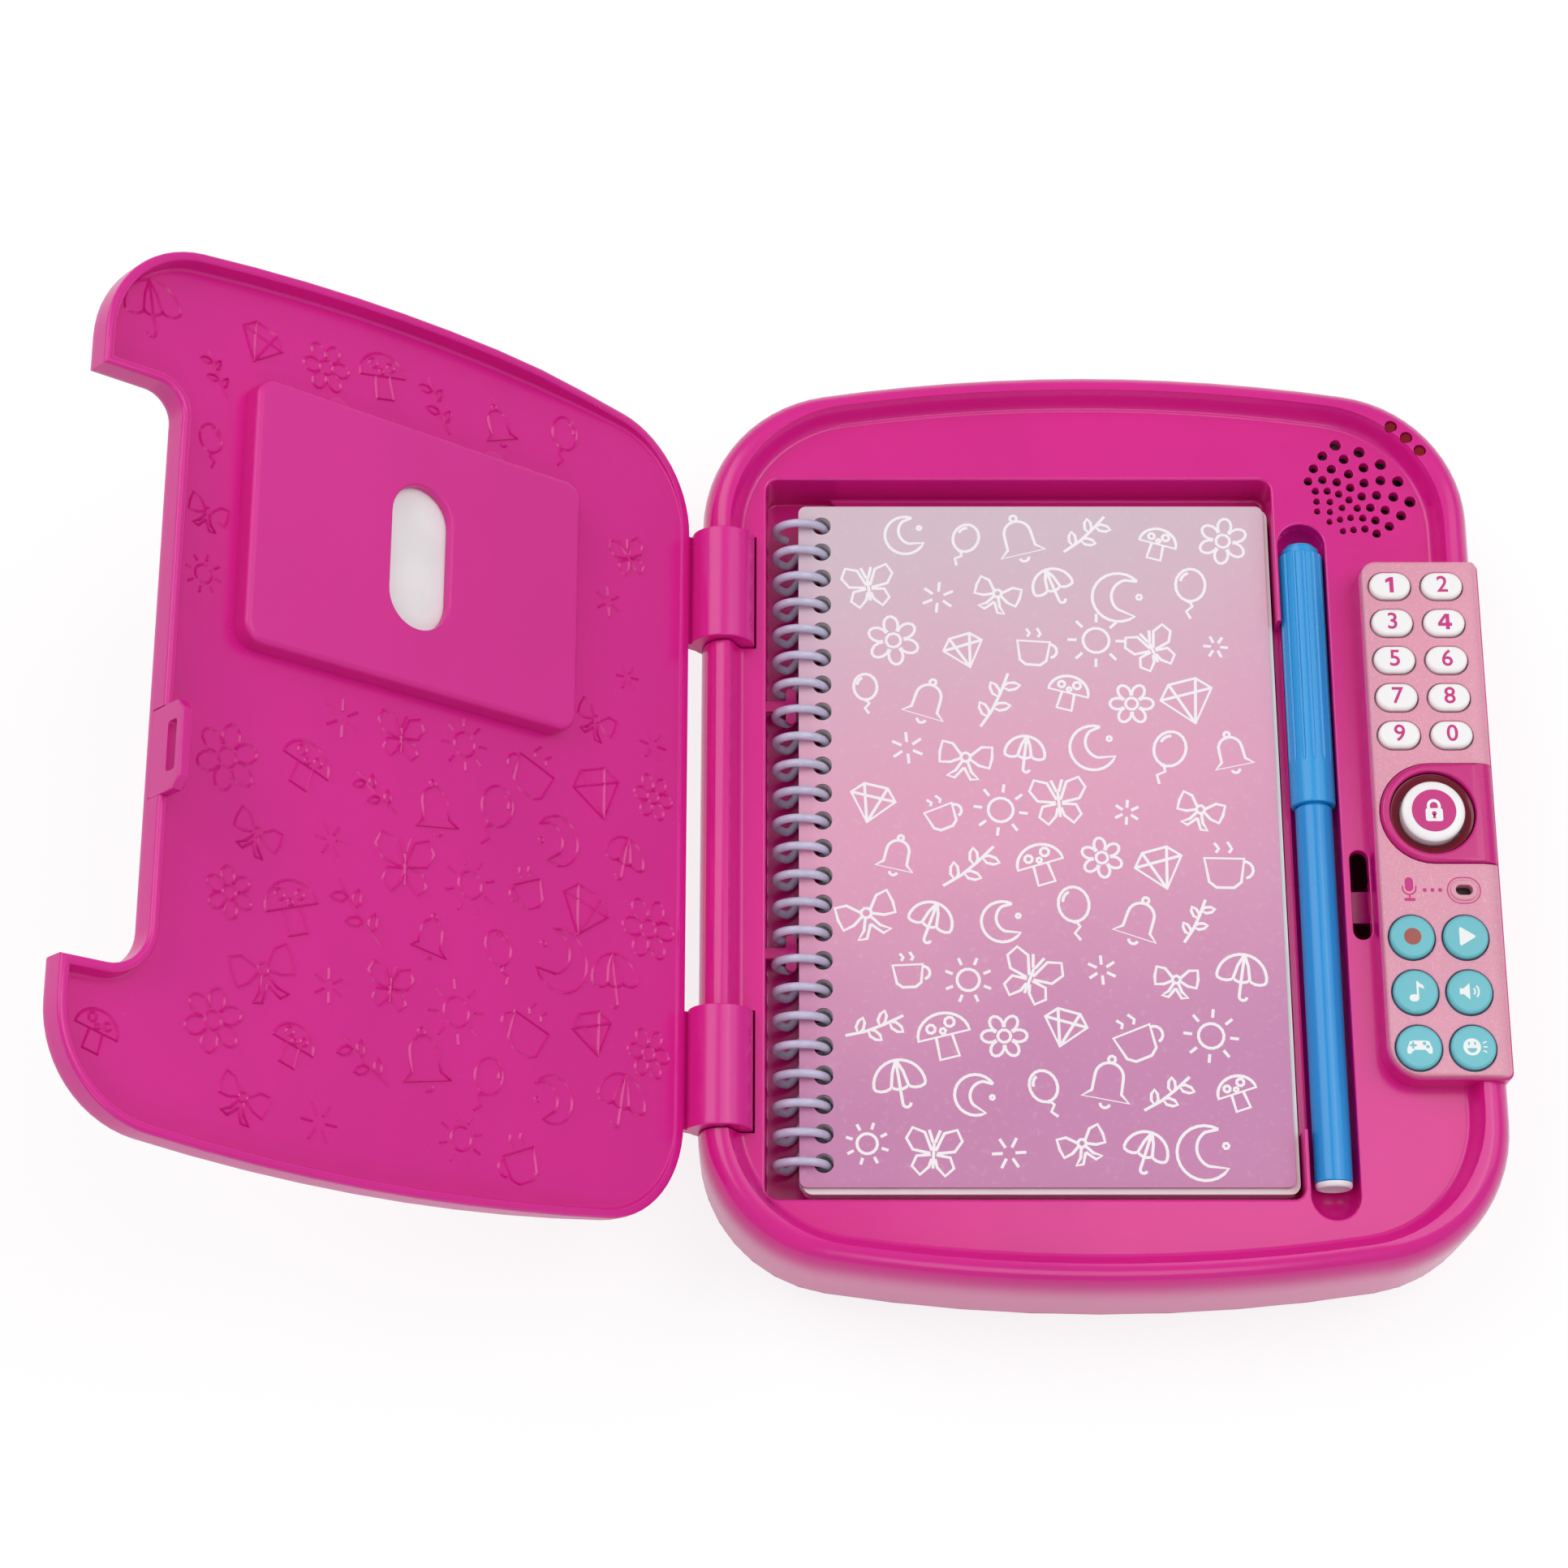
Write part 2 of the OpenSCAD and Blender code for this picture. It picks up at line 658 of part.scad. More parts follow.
module lock_surround() {
    color([0.84, 0.22, 0.56]) difference() {
        union() {
            surround_slab(surround_r, 0.4, pad_in_z, surround_top - 0.5);
            surround_slab(surround_r - 0.5, 0.9, surround_top - 0.6, surround_top);
            translate([0, 0, ring_z]) linear_extrude(pad_in_z - ring_z) intersection() {
                pad_2d(pad_wall + 0.15);
                translate([lock_x, lock_y]) circle(surround_r + 1.2);
            }
        }
        disc(lock_x, lock_y, ring_z - 1, surround_top + 1, well_r);
    }
}

module lock_light_ring() {
    r = well_r - 0.15;
    r_in = unlock_r + loose_gap;
    z0 = flange_z - loose_gap;
    color([0.55, 0.1, 0.16, 0.8]) translate([lock_x, lock_y, 0]) rotate_extrude() polygon([
        [r_in, flange_z + 0.7], [unlock_flange + loose_gap, flange_z + 0.7],
        [unlock_flange + loose_gap, z0], [r + 1.2, z0], [r + 1.2, ring_z - 0.15],
        [r, ring_z - 0.15], [r, pad_top - 0.7], [r_in, pad_top - 0.7]]);
}

module unlock_button() {
    z0 = flange_z - stem_h;
    color([0.96, 0.95, 0.96]) translate([lock_x, lock_y, 0]) rotate_extrude() polygon([
        [0, z0], [unlock_flange, z0], [unlock_flange, z0 + 1], [unlock_r, z0 + 1],
        [unlock_r, unlock_top - 0.7], [unlock_r - 0.4, unlock_top - 0.3],
        [unlock_r - 1.2, unlock_top], [0, unlock_top]]);
}

// A flange under the cover plate, kept clear of the block's wall
module flange_at(p) {
    translate([0, 0, flange_z]) linear_extrude(flange_t) intersection() {
        translate([p[0], p[1]]) children();
        pad_2d(pad_wall + 0.15);
    }
}

module number_key(n) {
    color([0.96, 0.95, 0.96]) {
        flange_at(key_at(n)) stadium_2d(key_w + 2 * flange_w, key_l + 2 * flange_w);
        translate(key_at(n)) {
            translate([0, 0, flange_z - stem_h]) cylinder(h = stem_h + eps, r = 2);
            translate([0, 0, flange_z + eps])
                linear_extrude(key_top - 0.4 - flange_z - eps) stadium_2d(key_w, key_l);
            translate([0, 0, key_top - 0.4 - eps]) linear_extrude(0.4 + eps)
                stadium_2d(key_w - 0.6, key_l - 0.6);
        }
    }
}

module function_button(i) {
    r = fn_d / 2;
    top = key_top - 0.1;
    color([0.45, 0.8, 0.84]) {
        flange_at(fn_at(i)) circle(r + 0.6);
        translate(fn_at(i)) rotate_extrude() polygon([
            [0, flange_z - stem_h], [2, flange_z - stem_h], [2, flange_z + eps],
            [r, flange_z + eps], [r, top - 0.5], [r - 0.5, top], [0, top]]);
    }
}

module key_0() { number_key(0); }
module key_1() { number_key(1); }
module key_2() { number_key(2); }
module key_3() { number_key(3); }
module key_4() { number_key(4); }
module key_5() { number_key(5); }
module key_6() { number_key(6); }
module key_7() { number_key(7); }
module key_8() { number_key(8); }
module key_9() { number_key(9); }
module record_button() { function_button(0); }
module play_button() { function_button(1); }
module music_button() { function_button(2); }
module volume_button() { function_button(3); }
module games_button() { function_button(4); }
module mood_button() { function_button(5); }

module keypad_mat() {
    color([0.9, 0.88, 0.86]) pad_slab(pad_wall + 0.3, mat_z, mat_z + mat_t);
}

module keypad_board() {
    color([0.2, 0.45, 0.25]) {
        pad_slab(pad_wall + 0.3, deck_z, deck_z + pcb_t);
        // sound chip under the board
        box(pad_cx - 6, pad_y0 + 12, deck_z - 2.4, pad_cx + 6, pad_y0 + 26, deck_z + eps);
    }
}

module microphone() {
    color([0.2, 0.2, 0.22]) difference() {
        union() {
            disc(mic_x, mic_y, pad_in_z - 2, pad_in_z, 3.4);
            disc(mic_x, mic_y, pad_in_z - eps, pad_top + 0.2, 2.4);
        }
        disc(mic_x, mic_y, pad_in_z, pad_top + 1, 1.1);
    }
}

module status_leds() {
    color([0.9, 0.3, 0.2]) for (a = led_angles)
        translate([led_cx + led_ring * cos(a), led_cy + led_ring * sin(a), deck_z - wall]) {
            cylinder(h = case_h - 0.2 - deck_z + wall - led_r, r = led_r);
            translate([0, 0, case_h - 0.2 - deck_z + wall - led_r]) sphere(r = led_r);
        }
}

module speaker_frame() {
    r = speaker_d / 2;
    z1 = deck_z - wall;
    color([0.3, 0.3, 0.32]) translate([speaker_x, speaker_y, 0]) rotate_extrude() polygon([
        [r - 2, z1], [r, z1], [r, z1 - 1.2], [r - 2, z1 - 1.2], [7.2, z1 - 5], [7.2, z1 - 9],
        [0, z1 - 9], [0, z1 - 5.6], [6, z1 - 5.6], [r - 3, z1 - 1.2], [r - 3, z1 - 0.8],
        [r - 2, z1 - 0.8]]);
}

module speaker_cone() {
    r = speaker_d / 2 - 3.1;
    z1 = deck_z - wall;
    color([0.15, 0.15, 0.16]) translate([speaker_x, speaker_y, 0]) rotate_extrude() polygon([
        [0, z1 - 3.2], [3, z1 - 3.2], [r - 1, z1 - 0.5], [r, z1 - 0.5], [r, z1 - 0.9],
        [r - 0.9, z1 - 0.9], [3, z1 - 4], [3, z1 - 5.4], [2.6, z1 - 5.4], [2.6, z1 - 3.6],
        [0, z1 - 3.6]]);
}

// Latch

module latch_guide() {
    y_in = bolt_w / 2 + run_gap;
    color([0.55, 0.2, 0.4]) difference() {
        box(guide_x0, guide_y0, bolt_z - run_gap - guide_wall, guide_x1, guide_y1, deck_z);
        box(guide_x0 - 1, slot_y - y_in, bolt_z - run_gap, guide_x1 + 1, slot_y + y_in,
            bolt_z + bolt_t + run_gap);
    }
}

module latch_bolt() {
    color([0.85, 0.84, 0.86]) {
        translate([0, 0, bolt_z]) linear_extrude(bolt_t) polygon([
            [bolt_x0, slot_y - bolt_w / 2 + 1], [bolt_x0 + 1, slot_y - bolt_w / 2],
            [bolt_x0 + bolt_l, slot_y - bolt_w / 2], [bolt_x0 + bolt_l, slot_y + bolt_w / 2],
            [bolt_x0 + 1, slot_y + bolt_w / 2], [bolt_x0, slot_y + bolt_w / 2 - 1]]);
        box(arm_x, slot_y, solenoid_z - plunger_r, arm_x + arm_t, solenoid_y + plunger_r,
            bolt_z + bolt_t);
        rod_x(arm_x + arm_t - eps, solenoid_y, solenoid_z, solenoid_x1 - 1.5, plunger_r);
    }
}

module latch_solenoid() {
    color([0.7, 0.45, 0.25]) difference() {
        rod_x(solenoid_x0, solenoid_y, solenoid_z, solenoid_x1, solenoid_r);
        rod_x(solenoid_x0 - 1, solenoid_y, solenoid_z, solenoid_x1 - 1, plunger_r + run_gap);
    }
}

// Lid, built in its closed place and then swung open

module opened() {
    translate([hinge_x, 0, hinge_z]) rotate([0, -lid_open, 0])
        translate([-hinge_x, 0, -hinge_z]) children();
}

module lid_2d(inset = 0) {
    difference() {
        translate([lid_cx, content_y + 1])
            polygon(outline(lid_hw - inset, lid_hl - inset, lid_r - inset, bow_r - inset));
        tab_2d(lid_edge_x - inset, pad_y0 - pad_gap - inset, lid_x1 + 5, pad_y1 + pad_gap + inset,
            pad_r_near + pad_gap - 0.2 + inset, pad_r_far + pad_gap - 0.2 + inset);
    }
}

module lid_cover() {
    color([0.82, 0.24, 0.57]) opened() difference() {
        union() {
            translate([0, 0, lid_face_z]) linear_extrude(lid_plate) lid_2d();
            translate([0, 0, lid_rim_z]) linear_extrude(lid_wall_h + eps) difference() {
                lid_2d();
                lid_2d(lid_border);
            }
            for (y = knuckle_ys) {
                rod_y(hinge_x, y - knuckle_l / 2, hinge_z, y + knuckle_l / 2, knuckle_r);
                box(hinge_x, y - knuckle_l / 2, lid_top_z - web_t, lid_x0 + 3, y + knuckle_l / 2,
                    lid_top_z);
            }
        }
        for (y = knuckle_ys)
            rod_y(hinge_x, y - knuckle_l, hinge_z, y + knuckle_l, pin_r + run_gap);
        // seat of the latch loop in the border wall
        box(lid_edge_x - tab_t, slot_y - tab_w / 2, lid_rim_z - 1, lid_edge_x + 1,
            slot_y + tab_w / 2, lid_face_z);
    }
}

module lid_latch_loop() {
    a = tab_w / 2;
    color([0.82, 0.24, 0.57]) opened() difference() {
        translate([lid_edge_x, slot_y, 0]) rotate([0, -90, 0]) linear_extrude(tab_t) polygon([
            [lid_face_z, -a], [tab_bot + 2, -a], [tab_bot, 2 - a], [tab_bot, a - 2],
            [tab_bot + 2, a], [lid_face_z, a]]);
        box(lid_edge_x - tab_t - 1, slot_y - eye_w / 2, eye_z0, lid_edge_x + 1, slot_y + eye_w / 2,
            eye_z0 + eye_h);
    }
}

module card_pocket() {
    color([0.82, 0.24, 0.57]) opened() difference() {
        rounded_box(pocket_x0, pocket_y0, lid_face_z - pocket_h, pocket_x1, pocket_y1, lid_face_z,
            4);
        box(pocket_x0 + 3, pocket_y0 + 2, card_z - 0.2, pocket_x1 - 3, pocket_y1 + 1,
            card_z + card_t + 0.2);
        translate([pocket_x0 + 39, (pocket_y0 + pocket_y1) / 2, lid_face_z - pocket_h - 1])
            linear_extrude(pocket_h - 1) rotate(90) stadium_2d(30, 14);
    }
}

module picture_card() {
    color([0.97, 0.96, 0.95]) opened()
        box(pocket_x0 + 3.3, pocket_y0 + 2.3, card_z, pocket_x1 - 3.3, pocket_y1 - 0.5,
            card_z + card_t);
}

// Notebook

module sheet(x0, y0, x1, y1, z0, z1) {
    difference() {
        rounded_box(x0, y0, z0, x1, y1, z1, 2);
        for (k = [0:coil_holes - 1])
            disc(hole_x, hole_y0 + k * coil_pitch, z0 - 1, z1 + 1, punch_r);
    }
}

module notebook_back_board() {
    color([0.75, 0.73, 0.7]) sheet(cover_x0, cover_y0, cover_x1, cover_y1, stack_bot,
        stack_bot + board_t);
}

module notebook_back_pages() {
    z = stack_bot + board_t + leaf_gap;
    color([0.97, 0.96, 0.94]) sheet(page_x0, page_y0, page_x1, page_y1, z, z + pages_t);
}

module notebook_front_pages() {
    z = stack_top - cover_t - leaf_gap;
    color([0.97, 0.96, 0.94]) sheet(page_x0, page_y0, page_x1, page_y1, z - pages_t, z);
}

module notebook_front_cover() {
    color([0.85, 0.6, 0.75]) sheet(cover_x0, cover_y0, cover_x1, cover_y1, stack_top - cover_t,
        stack_top);
}

// The wire stays in one plane where it runs through the sheets, and moves on to the next hole
// on its lower left
coil_path = [for (k = [0:coil_holes - 1]) each concat(
    [for (i = [0:wire_steps])
        [wire_a0 + (wire_a1 - wire_a0) * i / wire_steps, hole_y0 + k * coil_pitch]],
    k == coil_holes - 1 ? [] : [for (i = [1:wire_shift - 1])
        [wire_a1 + (360 + wire_a0 - wire_a1) * i / wire_shift,
            hole_y0 + (k + i / wire_shift) * coil_pitch]])];
wire_sides = 6;

function wire_point(p, t) = let (r = coil_r + wire_r * cos(t))
    [coil_x + r * cos(p[0]), p[1] + wire_r * sin(t), coil_z + r * sin(p[0])];

module notebook_coil() {
    last = len(coil_path) - 1;
    s = wire_sides;
    ends = [[for (j = [0:s - 1]) j], [for (j = [s - 1:-1:0]) last * s + j]];
    sides = [for (i = [0:last - 1]) for (j = [0:s - 1]) let (k = (j + 1) % s) each [
        [i * s + j, (i + 1) * s + j, (i + 1) * s + k], [i * s + j, (i + 1) * s + k, i * s + k]]];
    color([0.85, 0.84, 0.92]) polyhedron(
        points = [for (p = coil_path) for (j = [0:s - 1]) wire_point(p, 360 * j / s)],
        faces = concat(ends, sides));
}

// Pen

module pen_barrel() {
    r = barrel_d / 2;
    color([0.14, 0.6, 0.88]) translate([pen_x, 0, pen_z]) rotate([-90, 0, 0]) rotate_extrude()
        polygon([[bore_r, pen_y0 + plug_l], [r - 0.3, pen_y0 + plug_l], [r, pen_y0 + plug_l + 0.6],
            [r, cap_y0 - 0.4], [neck_r, cap_y0 - 0.4], [neck_r, cap_y0 + neck_l - 2],
            [bore_r + 0.4, cap_y0 + neck_l + 8], [bore_r, cap_y0 + neck_l + 8]]);
}

module pen_nib() {
    y = cap_y0 + neck_l;
    color([0.8, 0.8, 0.82]) translate([pen_x, 0, pen_z]) rotate([-90, 0, 0]) rotate_extrude()
        polygon([[0, y + 2], [bore_r, y + 2], [bore_r, y + 8], [bore_r - 0.4, y + 8.5],
            [0.5, y + 13.5], [0, y + 14]]);
}

module pen_ink_tube() {
    color([0.2, 0.25, 0.6]) rod_y(pen_x, pen_y0 + plug_l + 1, pen_z, cap_y0 + neck_l + 2, ink_r);
}

module pen_end_plug() {
    r = barrel_d / 2;
    color([0.94, 0.94, 0.96]) translate([pen_x, 0, pen_z]) rotate([-90, 0, 0]) rotate_extrude()
        polygon([[0, pen_y0 + 2], [1.5, pen_y0 + 2], [1.5, pen_y0], [r - 1.4, pen_y0],
            [r - 0.5, pen_y0 + 1], [r - 0.2, pen_y0 + plug_l], [bore_r - 0.05, pen_y0 + plug_l],
            [bore_r - 0.05, pen_y0 + plug_l + 1], [0, pen_y0 + plug_l + 1]]);
}

module pen_cap() {
    r = cap_d / 2;
    color([0.25, 0.65, 0.88]) translate([pen_x, 0, pen_z]) rotate([-90, 0, 0]) rotate_extrude()
        polygon([[cap_bore_r, cap_y0], [r, cap_y0], [r, cap_y0 + 1.4], [r - 0.35, cap_y0 + 1.8],
            [r - 0.35, cap_y0 + 2.6], [r, cap_y0 + 3], [r, pen_y1 - 1], [r - 1, pen_y1],
            [0, pen_y1], [0, pen_y1 - 3], [cap_bore_r, pen_y1 - 3]]);
}

base_top_shell();
base_bottom_shell();
keypad_bezel();
lock_surround();
lock_light_ring();
keypad_mat();
keypad_board();
microphone();
status_leds();
speaker_frame();
speaker_cone();
latch_guide();
latch_solenoid();
latch_bolt();
battery_cells();
battery_contacts();
battery_door();
battery_door_screw();
case_screws();
hinge_pins();
key_0();
key_1();
key_2();
key_3();
key_4();
key_5();
key_6();
key_7();
key_8();
key_9();
unlock_button();
record_button();
play_button();
music_button();
volume_button();
games_button();
mood_button();
lid_cover();
lid_latch_loop();
card_pocket();
picture_card();
notebook_back_board();
notebook_coil();
notebook_back_pages();
notebook_front_pages();
notebook_front_cover();
pen_barrel();
pen_nib();
pen_ink_tube();
pen_end_plug();
pen_cap();
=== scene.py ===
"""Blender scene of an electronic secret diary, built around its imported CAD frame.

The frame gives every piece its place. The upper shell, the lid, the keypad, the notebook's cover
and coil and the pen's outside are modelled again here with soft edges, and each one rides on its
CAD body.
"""

from __future__ import annotations

import json
import logging
import math
from collections.abc import Iterable, Iterator
from dataclasses import dataclass, field
from enum import Enum

import bpy
from bpy.types import Material, Node, NodeSocket, Object
from mathutils import Matrix, Vector

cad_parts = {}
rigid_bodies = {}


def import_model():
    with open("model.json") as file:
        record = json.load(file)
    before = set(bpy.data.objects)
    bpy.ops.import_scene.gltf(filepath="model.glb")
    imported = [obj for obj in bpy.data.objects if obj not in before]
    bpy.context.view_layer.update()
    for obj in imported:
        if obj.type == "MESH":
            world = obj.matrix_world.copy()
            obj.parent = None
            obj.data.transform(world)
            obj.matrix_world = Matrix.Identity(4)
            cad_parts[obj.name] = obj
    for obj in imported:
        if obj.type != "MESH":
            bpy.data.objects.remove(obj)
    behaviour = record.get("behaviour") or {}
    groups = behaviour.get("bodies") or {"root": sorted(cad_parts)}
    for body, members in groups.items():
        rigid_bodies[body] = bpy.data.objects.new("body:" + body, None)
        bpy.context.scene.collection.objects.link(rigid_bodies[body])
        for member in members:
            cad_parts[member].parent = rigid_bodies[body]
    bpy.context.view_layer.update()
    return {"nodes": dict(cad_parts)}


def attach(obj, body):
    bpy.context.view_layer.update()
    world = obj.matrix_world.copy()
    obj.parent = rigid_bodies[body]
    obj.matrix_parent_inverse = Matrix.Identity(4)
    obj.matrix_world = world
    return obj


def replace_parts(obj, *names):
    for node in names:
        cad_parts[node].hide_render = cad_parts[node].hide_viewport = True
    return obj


MM = 0.001
SAME = 2e-6  # metres: vertices closer than this are merged
LEVEL = 1e-6  # metres, or mm of inset: less than this is none
WHITE = (1.0, 1.0, 1.0)
log = logging.getLogger("diary")

Point = tuple[float, float]
Place = tuple[float, float, float]
Box = tuple[float, float, float, float]
Rings = list[Point]
Stroke = list[Point]
Colour = tuple[float, float, float]


def rgb(r: int, g: int, b: int) -> Colour:
    """Gives an 8-bit screen colour as linear values."""
    parts = [c / 255 for c in (r, g, b)]
    return tuple(c / 12.92 if c <= 0.04045 else ((c + 0.055) / 1.055) ** 2.4 for c in parts)


def shade(colour: Colour, by: float, plus: float = 0.0) -> Colour:
    """Gives a colour made darker or lighter, up to full white."""
    return tuple(min(1.0, c * by + plus) for c in colour)


def over(r: float, n: int = 5, h: float | None = None) -> Rings:
    """Gives the rings of an edge that turns from a wall onto a flat, with h as its height."""
    h = r if h is None else h
    t = [math.pi / 2 * i / n for i in range(n + 1)]
    return [
        (r * (math.cos(a) - math.cos(b)), h * (math.sin(b) - math.sin(a)))
        for a, b in zip(t, t[1:])
    ]


def lip(r: float, n: int = 4) -> Rings:
    """Gives the rings of an edge that turns from a flat down into a wall."""
    t = [math.pi / 2 * i / n for i in range(n + 1)]
    return [
        (r * (math.sin(b) - math.sin(a)), r * (math.cos(b) - math.cos(a)))
        for a, b in zip(t, t[1:])
    ]


def down(rings: Rings) -> Rings:
    """Gives the same rings with their heights turned round."""
    return [(i, -h) for i, h in rings]


def profile(points: list[Point]) -> Rings:
    """Gives the rings between points of (inset, height)."""
    return [(b[0] - a[0], b[1] - a[1]) for a, b in zip(points, points[1:])]


@dataclass
class Path:
    """An outline drawn with ruler and compasses, in mm: lines to a point, arcs about a centre."""

    start: Point
    moves: list[tuple[float, ...]] = field(default_factory=list)

    def line(self, x: float, y: float) -> Path:
        """Adds a straight line to x, y."""
        self.moves.append((x, y))
        return self

    def arc(self, cx: float, cy: float, degrees: float) -> Path:
        """Adds an arc about cx, cy; degrees are counterclockwise."""
        self.moves.append((cx, cy, degrees))
        return self

    @staticmethod
    def rounded(x0: float, y0: float, x1: float, y1: float, r: float | tuple[float, ...]) -> Path:
        """Draws a rectangle with rounded corners.

        Args:
            x0: Left side.
            y0: Near side.
            x1: Right side.
            y1: Far side.
            r: One radius, or four: near left, near right, far right, far left.

        Returns:
            The closed outline.
        """
        a, b, c, d = r if isinstance(r, tuple) else (r, r, r, r)
        path = Path((x0 + a, y0))
        path.line(x1 - b, y0).arc(x1 - b, y0 + b, 90)
        path.line(x1, y1 - c).arc(x1 - c, y1 - c, 90)
        path.line(x0 + d, y1).arc(x0 + d, y1 - d, 90)
        return path.line(x0, y0 + a).arc(x0 + a, y0 + a, 90)

    @staticmethod
    def stadium(x: float, y: float, w: float, h: float) -> Path:
        """Draws a rectangle with round ends about x, y."""
        r = min(w, h) / 2
        a, b = w / 2 - r, h / 2 - r
        if w > h:
            path = Path((x - a, y - r)).line(x + a, y - r).arc(x + a, y, 180)
            return path.line(x - a, y + r).arc(x - a, y, 180)
        path = Path((x + r, y - b)).line(x + r, y + b).arc(x, y + b, 180)
        return path.line(x - r, y - b).arc(x, y - b, 180)

    @staticmethod
    def circle(x: float, y: float, r: float) -> Path:
        """Draws a circle."""
        return Path((x + r, y)).arc(x, y, 360)

    @staticmethod
    def polygon(*points: Point) -> Path:
        """Draws straight lines through the points."""
        return Path(points[0], list(points[1:]))

    @staticmethod
    def about(x: float, y: float, *points: Point) -> Path:
        """Draws a closed outline through points measured from x, y."""
        return Path.polygon(*[(x + u, y + v) for u, v in (*points, points[0])])

    @staticmethod
    def bowed(x: float, y: float, hx: float, hy: float, r: float, bow: float) -> Path:
        """Draws a rounded rectangle whose near and far sides bow outwards.

        Args:
            x: Middle of the outline.
            y: Middle of the outline.
            hx: Half its width.
            hy: Half its length.
            r: Corner radius.
            bow: Radius of the bowed sides.

        Returns:
            The closed outline.
        """
        cx, d = hx - r, bow - hy
        cy = math.sqrt((bow - r) ** 2 - cx * cx) - d
        beta = math.degrees(math.asin(cx / (bow - r)))
        path = Path((x + hx, y - cy)).line(x + hx, y + cy)
        path.arc(x + cx, y + cy, 90 - beta).arc(x, y - d, 2 * beta)
        path.arc(x - cx, y + cy, 90 - beta).line(x - hx, y - cy)
        return path.arc(x - cx, y - cy, 90 - beta).arc(x, y + d, 2 * beta).arc(
            x + cx, y - cy, 90 - beta
        )


class Bench:
    """Modelling moves, each made with Blender's own operators. All sizes are in mm."""

    @staticmethod
    def none() -> None:
        """Leaves nothing selected, in object mode."""
        if bpy.context.mode != "OBJECT":
            bpy.ops.object.mode_set(mode="OBJECT")
        bpy.ops.object.select_all(action="DESELECT")

    @staticmethod
    def only(*objs: Object) -> Object:
        """Leaves just these objects selected and the first one active."""
        Bench.none()
        for obj in objs:
            obj.select_set(True)
        bpy.context.view_layer.objects.active = objs[0]
        return objs[0]

    @staticmethod
    def edit(obj: Object) -> None:
        """Opens one object in edit mode with nothing selected."""
        Bench.only(obj)
        bpy.ops.object.mode_set(mode="EDIT")
        bpy.ops.mesh.select_all(action="DESELECT")

    @staticmethod
    def close(obj: Object) -> Object:
        """Merges doubles, turns all faces outwards and leaves edit mode."""
        bpy.ops.mesh.select_all(action="SELECT")
        bpy.ops.mesh.remove_doubles(threshold=SAME)
        bpy.ops.mesh.normals_make_consistent(inside=False)
        bpy.ops.object.mode_set(mode="OBJECT")
        return obj

    @staticmethod
    def draw(name: str, path: Path, z: float) -> Object:
        """Draws an outline from one corner of a small plane and leaves its vertices in edit mode.

        Args:
            name: Name of the new object.
            path: The outline.
            z: Its height.

        Returns:
            The object, in edit mode.
        """
        Bench.none()
        bpy.ops.mesh.primitive_plane_add(size=MM)
        obj = bpy.context.object
        obj.name = name
        bpy.ops.object.mode_set(mode="EDIT")
        bpy.ops.mesh.select_mode(type="VERT")
        bpy.ops.mesh.select_all(action="SELECT")
        bpy.ops.mesh.merge(type="CENTER")
        x, y = path.start
        bpy.ops.transform.translate(value=(x * MM, y * MM, z * MM))
        for move in path.moves:
            if len(move) == 2:
                step = ((move[0] - x) * MM, (move[1] - y) * MM, 0)
                bpy.ops.mesh.extrude_region_move(TRANSFORM_OT_translate={"value": step})
                x, y = move
                continue
            cx, cy, deg = move
            a = math.radians(deg)
            dx, dy = x - cx, y - cy
            r = math.hypot(dx, dy)
            # degrees of each facet: the wider the arc, the finer
            facet = 1.6 if r > 100 else 6 if r > 12 else 9 if r > 3 else 15
            bpy.ops.mesh.spin(
                steps=max(2, math.ceil(abs(deg) / facet)),
                angle=-a,
                center=(cx * MM, cy * MM, z * MM),
                axis=(0, 0, 1),
            )
            x = cx + dx * math.cos(a) - dy * math.sin(a)
            y = cy + dx * math.sin(a) + dy * math.cos(a)
        return obj

    @staticmethod
    def face(name: str, path: Path, z: float, upward: bool = True) -> Object:
        """Fills an outline with one flat face and selects it, in edit mode."""
        obj = Bench.draw(name, path, z)
        bpy.ops.mesh.select_all(action="SELECT")
        bpy.ops.mesh.remove_doubles(threshold=SAME)
        bpy.ops.mesh.edge_face_add()
        bpy.ops.mesh.select_mode(type="FACE")
        obj.update_from_editmode()
        if (obj.data.polygons[0].normal.z > 0) != upward:
            bpy.ops.mesh.flip_normals()
        return obj

    @staticmethod
    def rise(rings: Rings, way: int = 1) -> None:
        """Takes the selected flat face through rings of (inset, height).

        Args:
            rings: Insets and heights, one pair a ring.
            way: 1 where the face looks up, -1 where it looks down.
        """
        for inset, height in rings:
            if inset < LEVEL:
                step = {"value": (0, 0, height * MM)}
                bpy.ops.mesh.extrude_region_move(TRANSFORM_OT_translate=step)
            else:
                bpy.ops.mesh.inset(
                    thickness=inset * MM, depth=way * height * MM, use_even_offset=True
                )

    @staticmethod
    def solid(name: str, path: Path, z: float, rings: Rings, below: Rings | None = None) -> Object:
        """Builds a closed solid of rings over, and if asked under, one outline.

        Args:
            name: Name of the new object.
            path: The widest outline.
            z: Its height.
            rings: Rings of (inset, height) from there.
            below: Rings that go down from the same outline.

        Returns:
            The solid.
        """
        upward = sum(h for _, h in rings) > 0
        obj = Bench.face(name, path, z, upward)
        Bench.rise(rings, 1 if upward else -1)
        if below:
            bpy.ops.mesh.select_all(action="DESELECT")
            bpy.ops.object.mode_set(mode="OBJECT")
            base = max(
                (p for p in obj.data.polygons if abs(p.center.z - z * MM) < LEVEL),
                key=lambda p: p.area,
            )
            base.select = True
            low = base.normal.z < 0
            bpy.ops.object.mode_set(mode="EDIT")
            Bench.rise(below, -1 if low else 1)
        return Bench.close(obj)

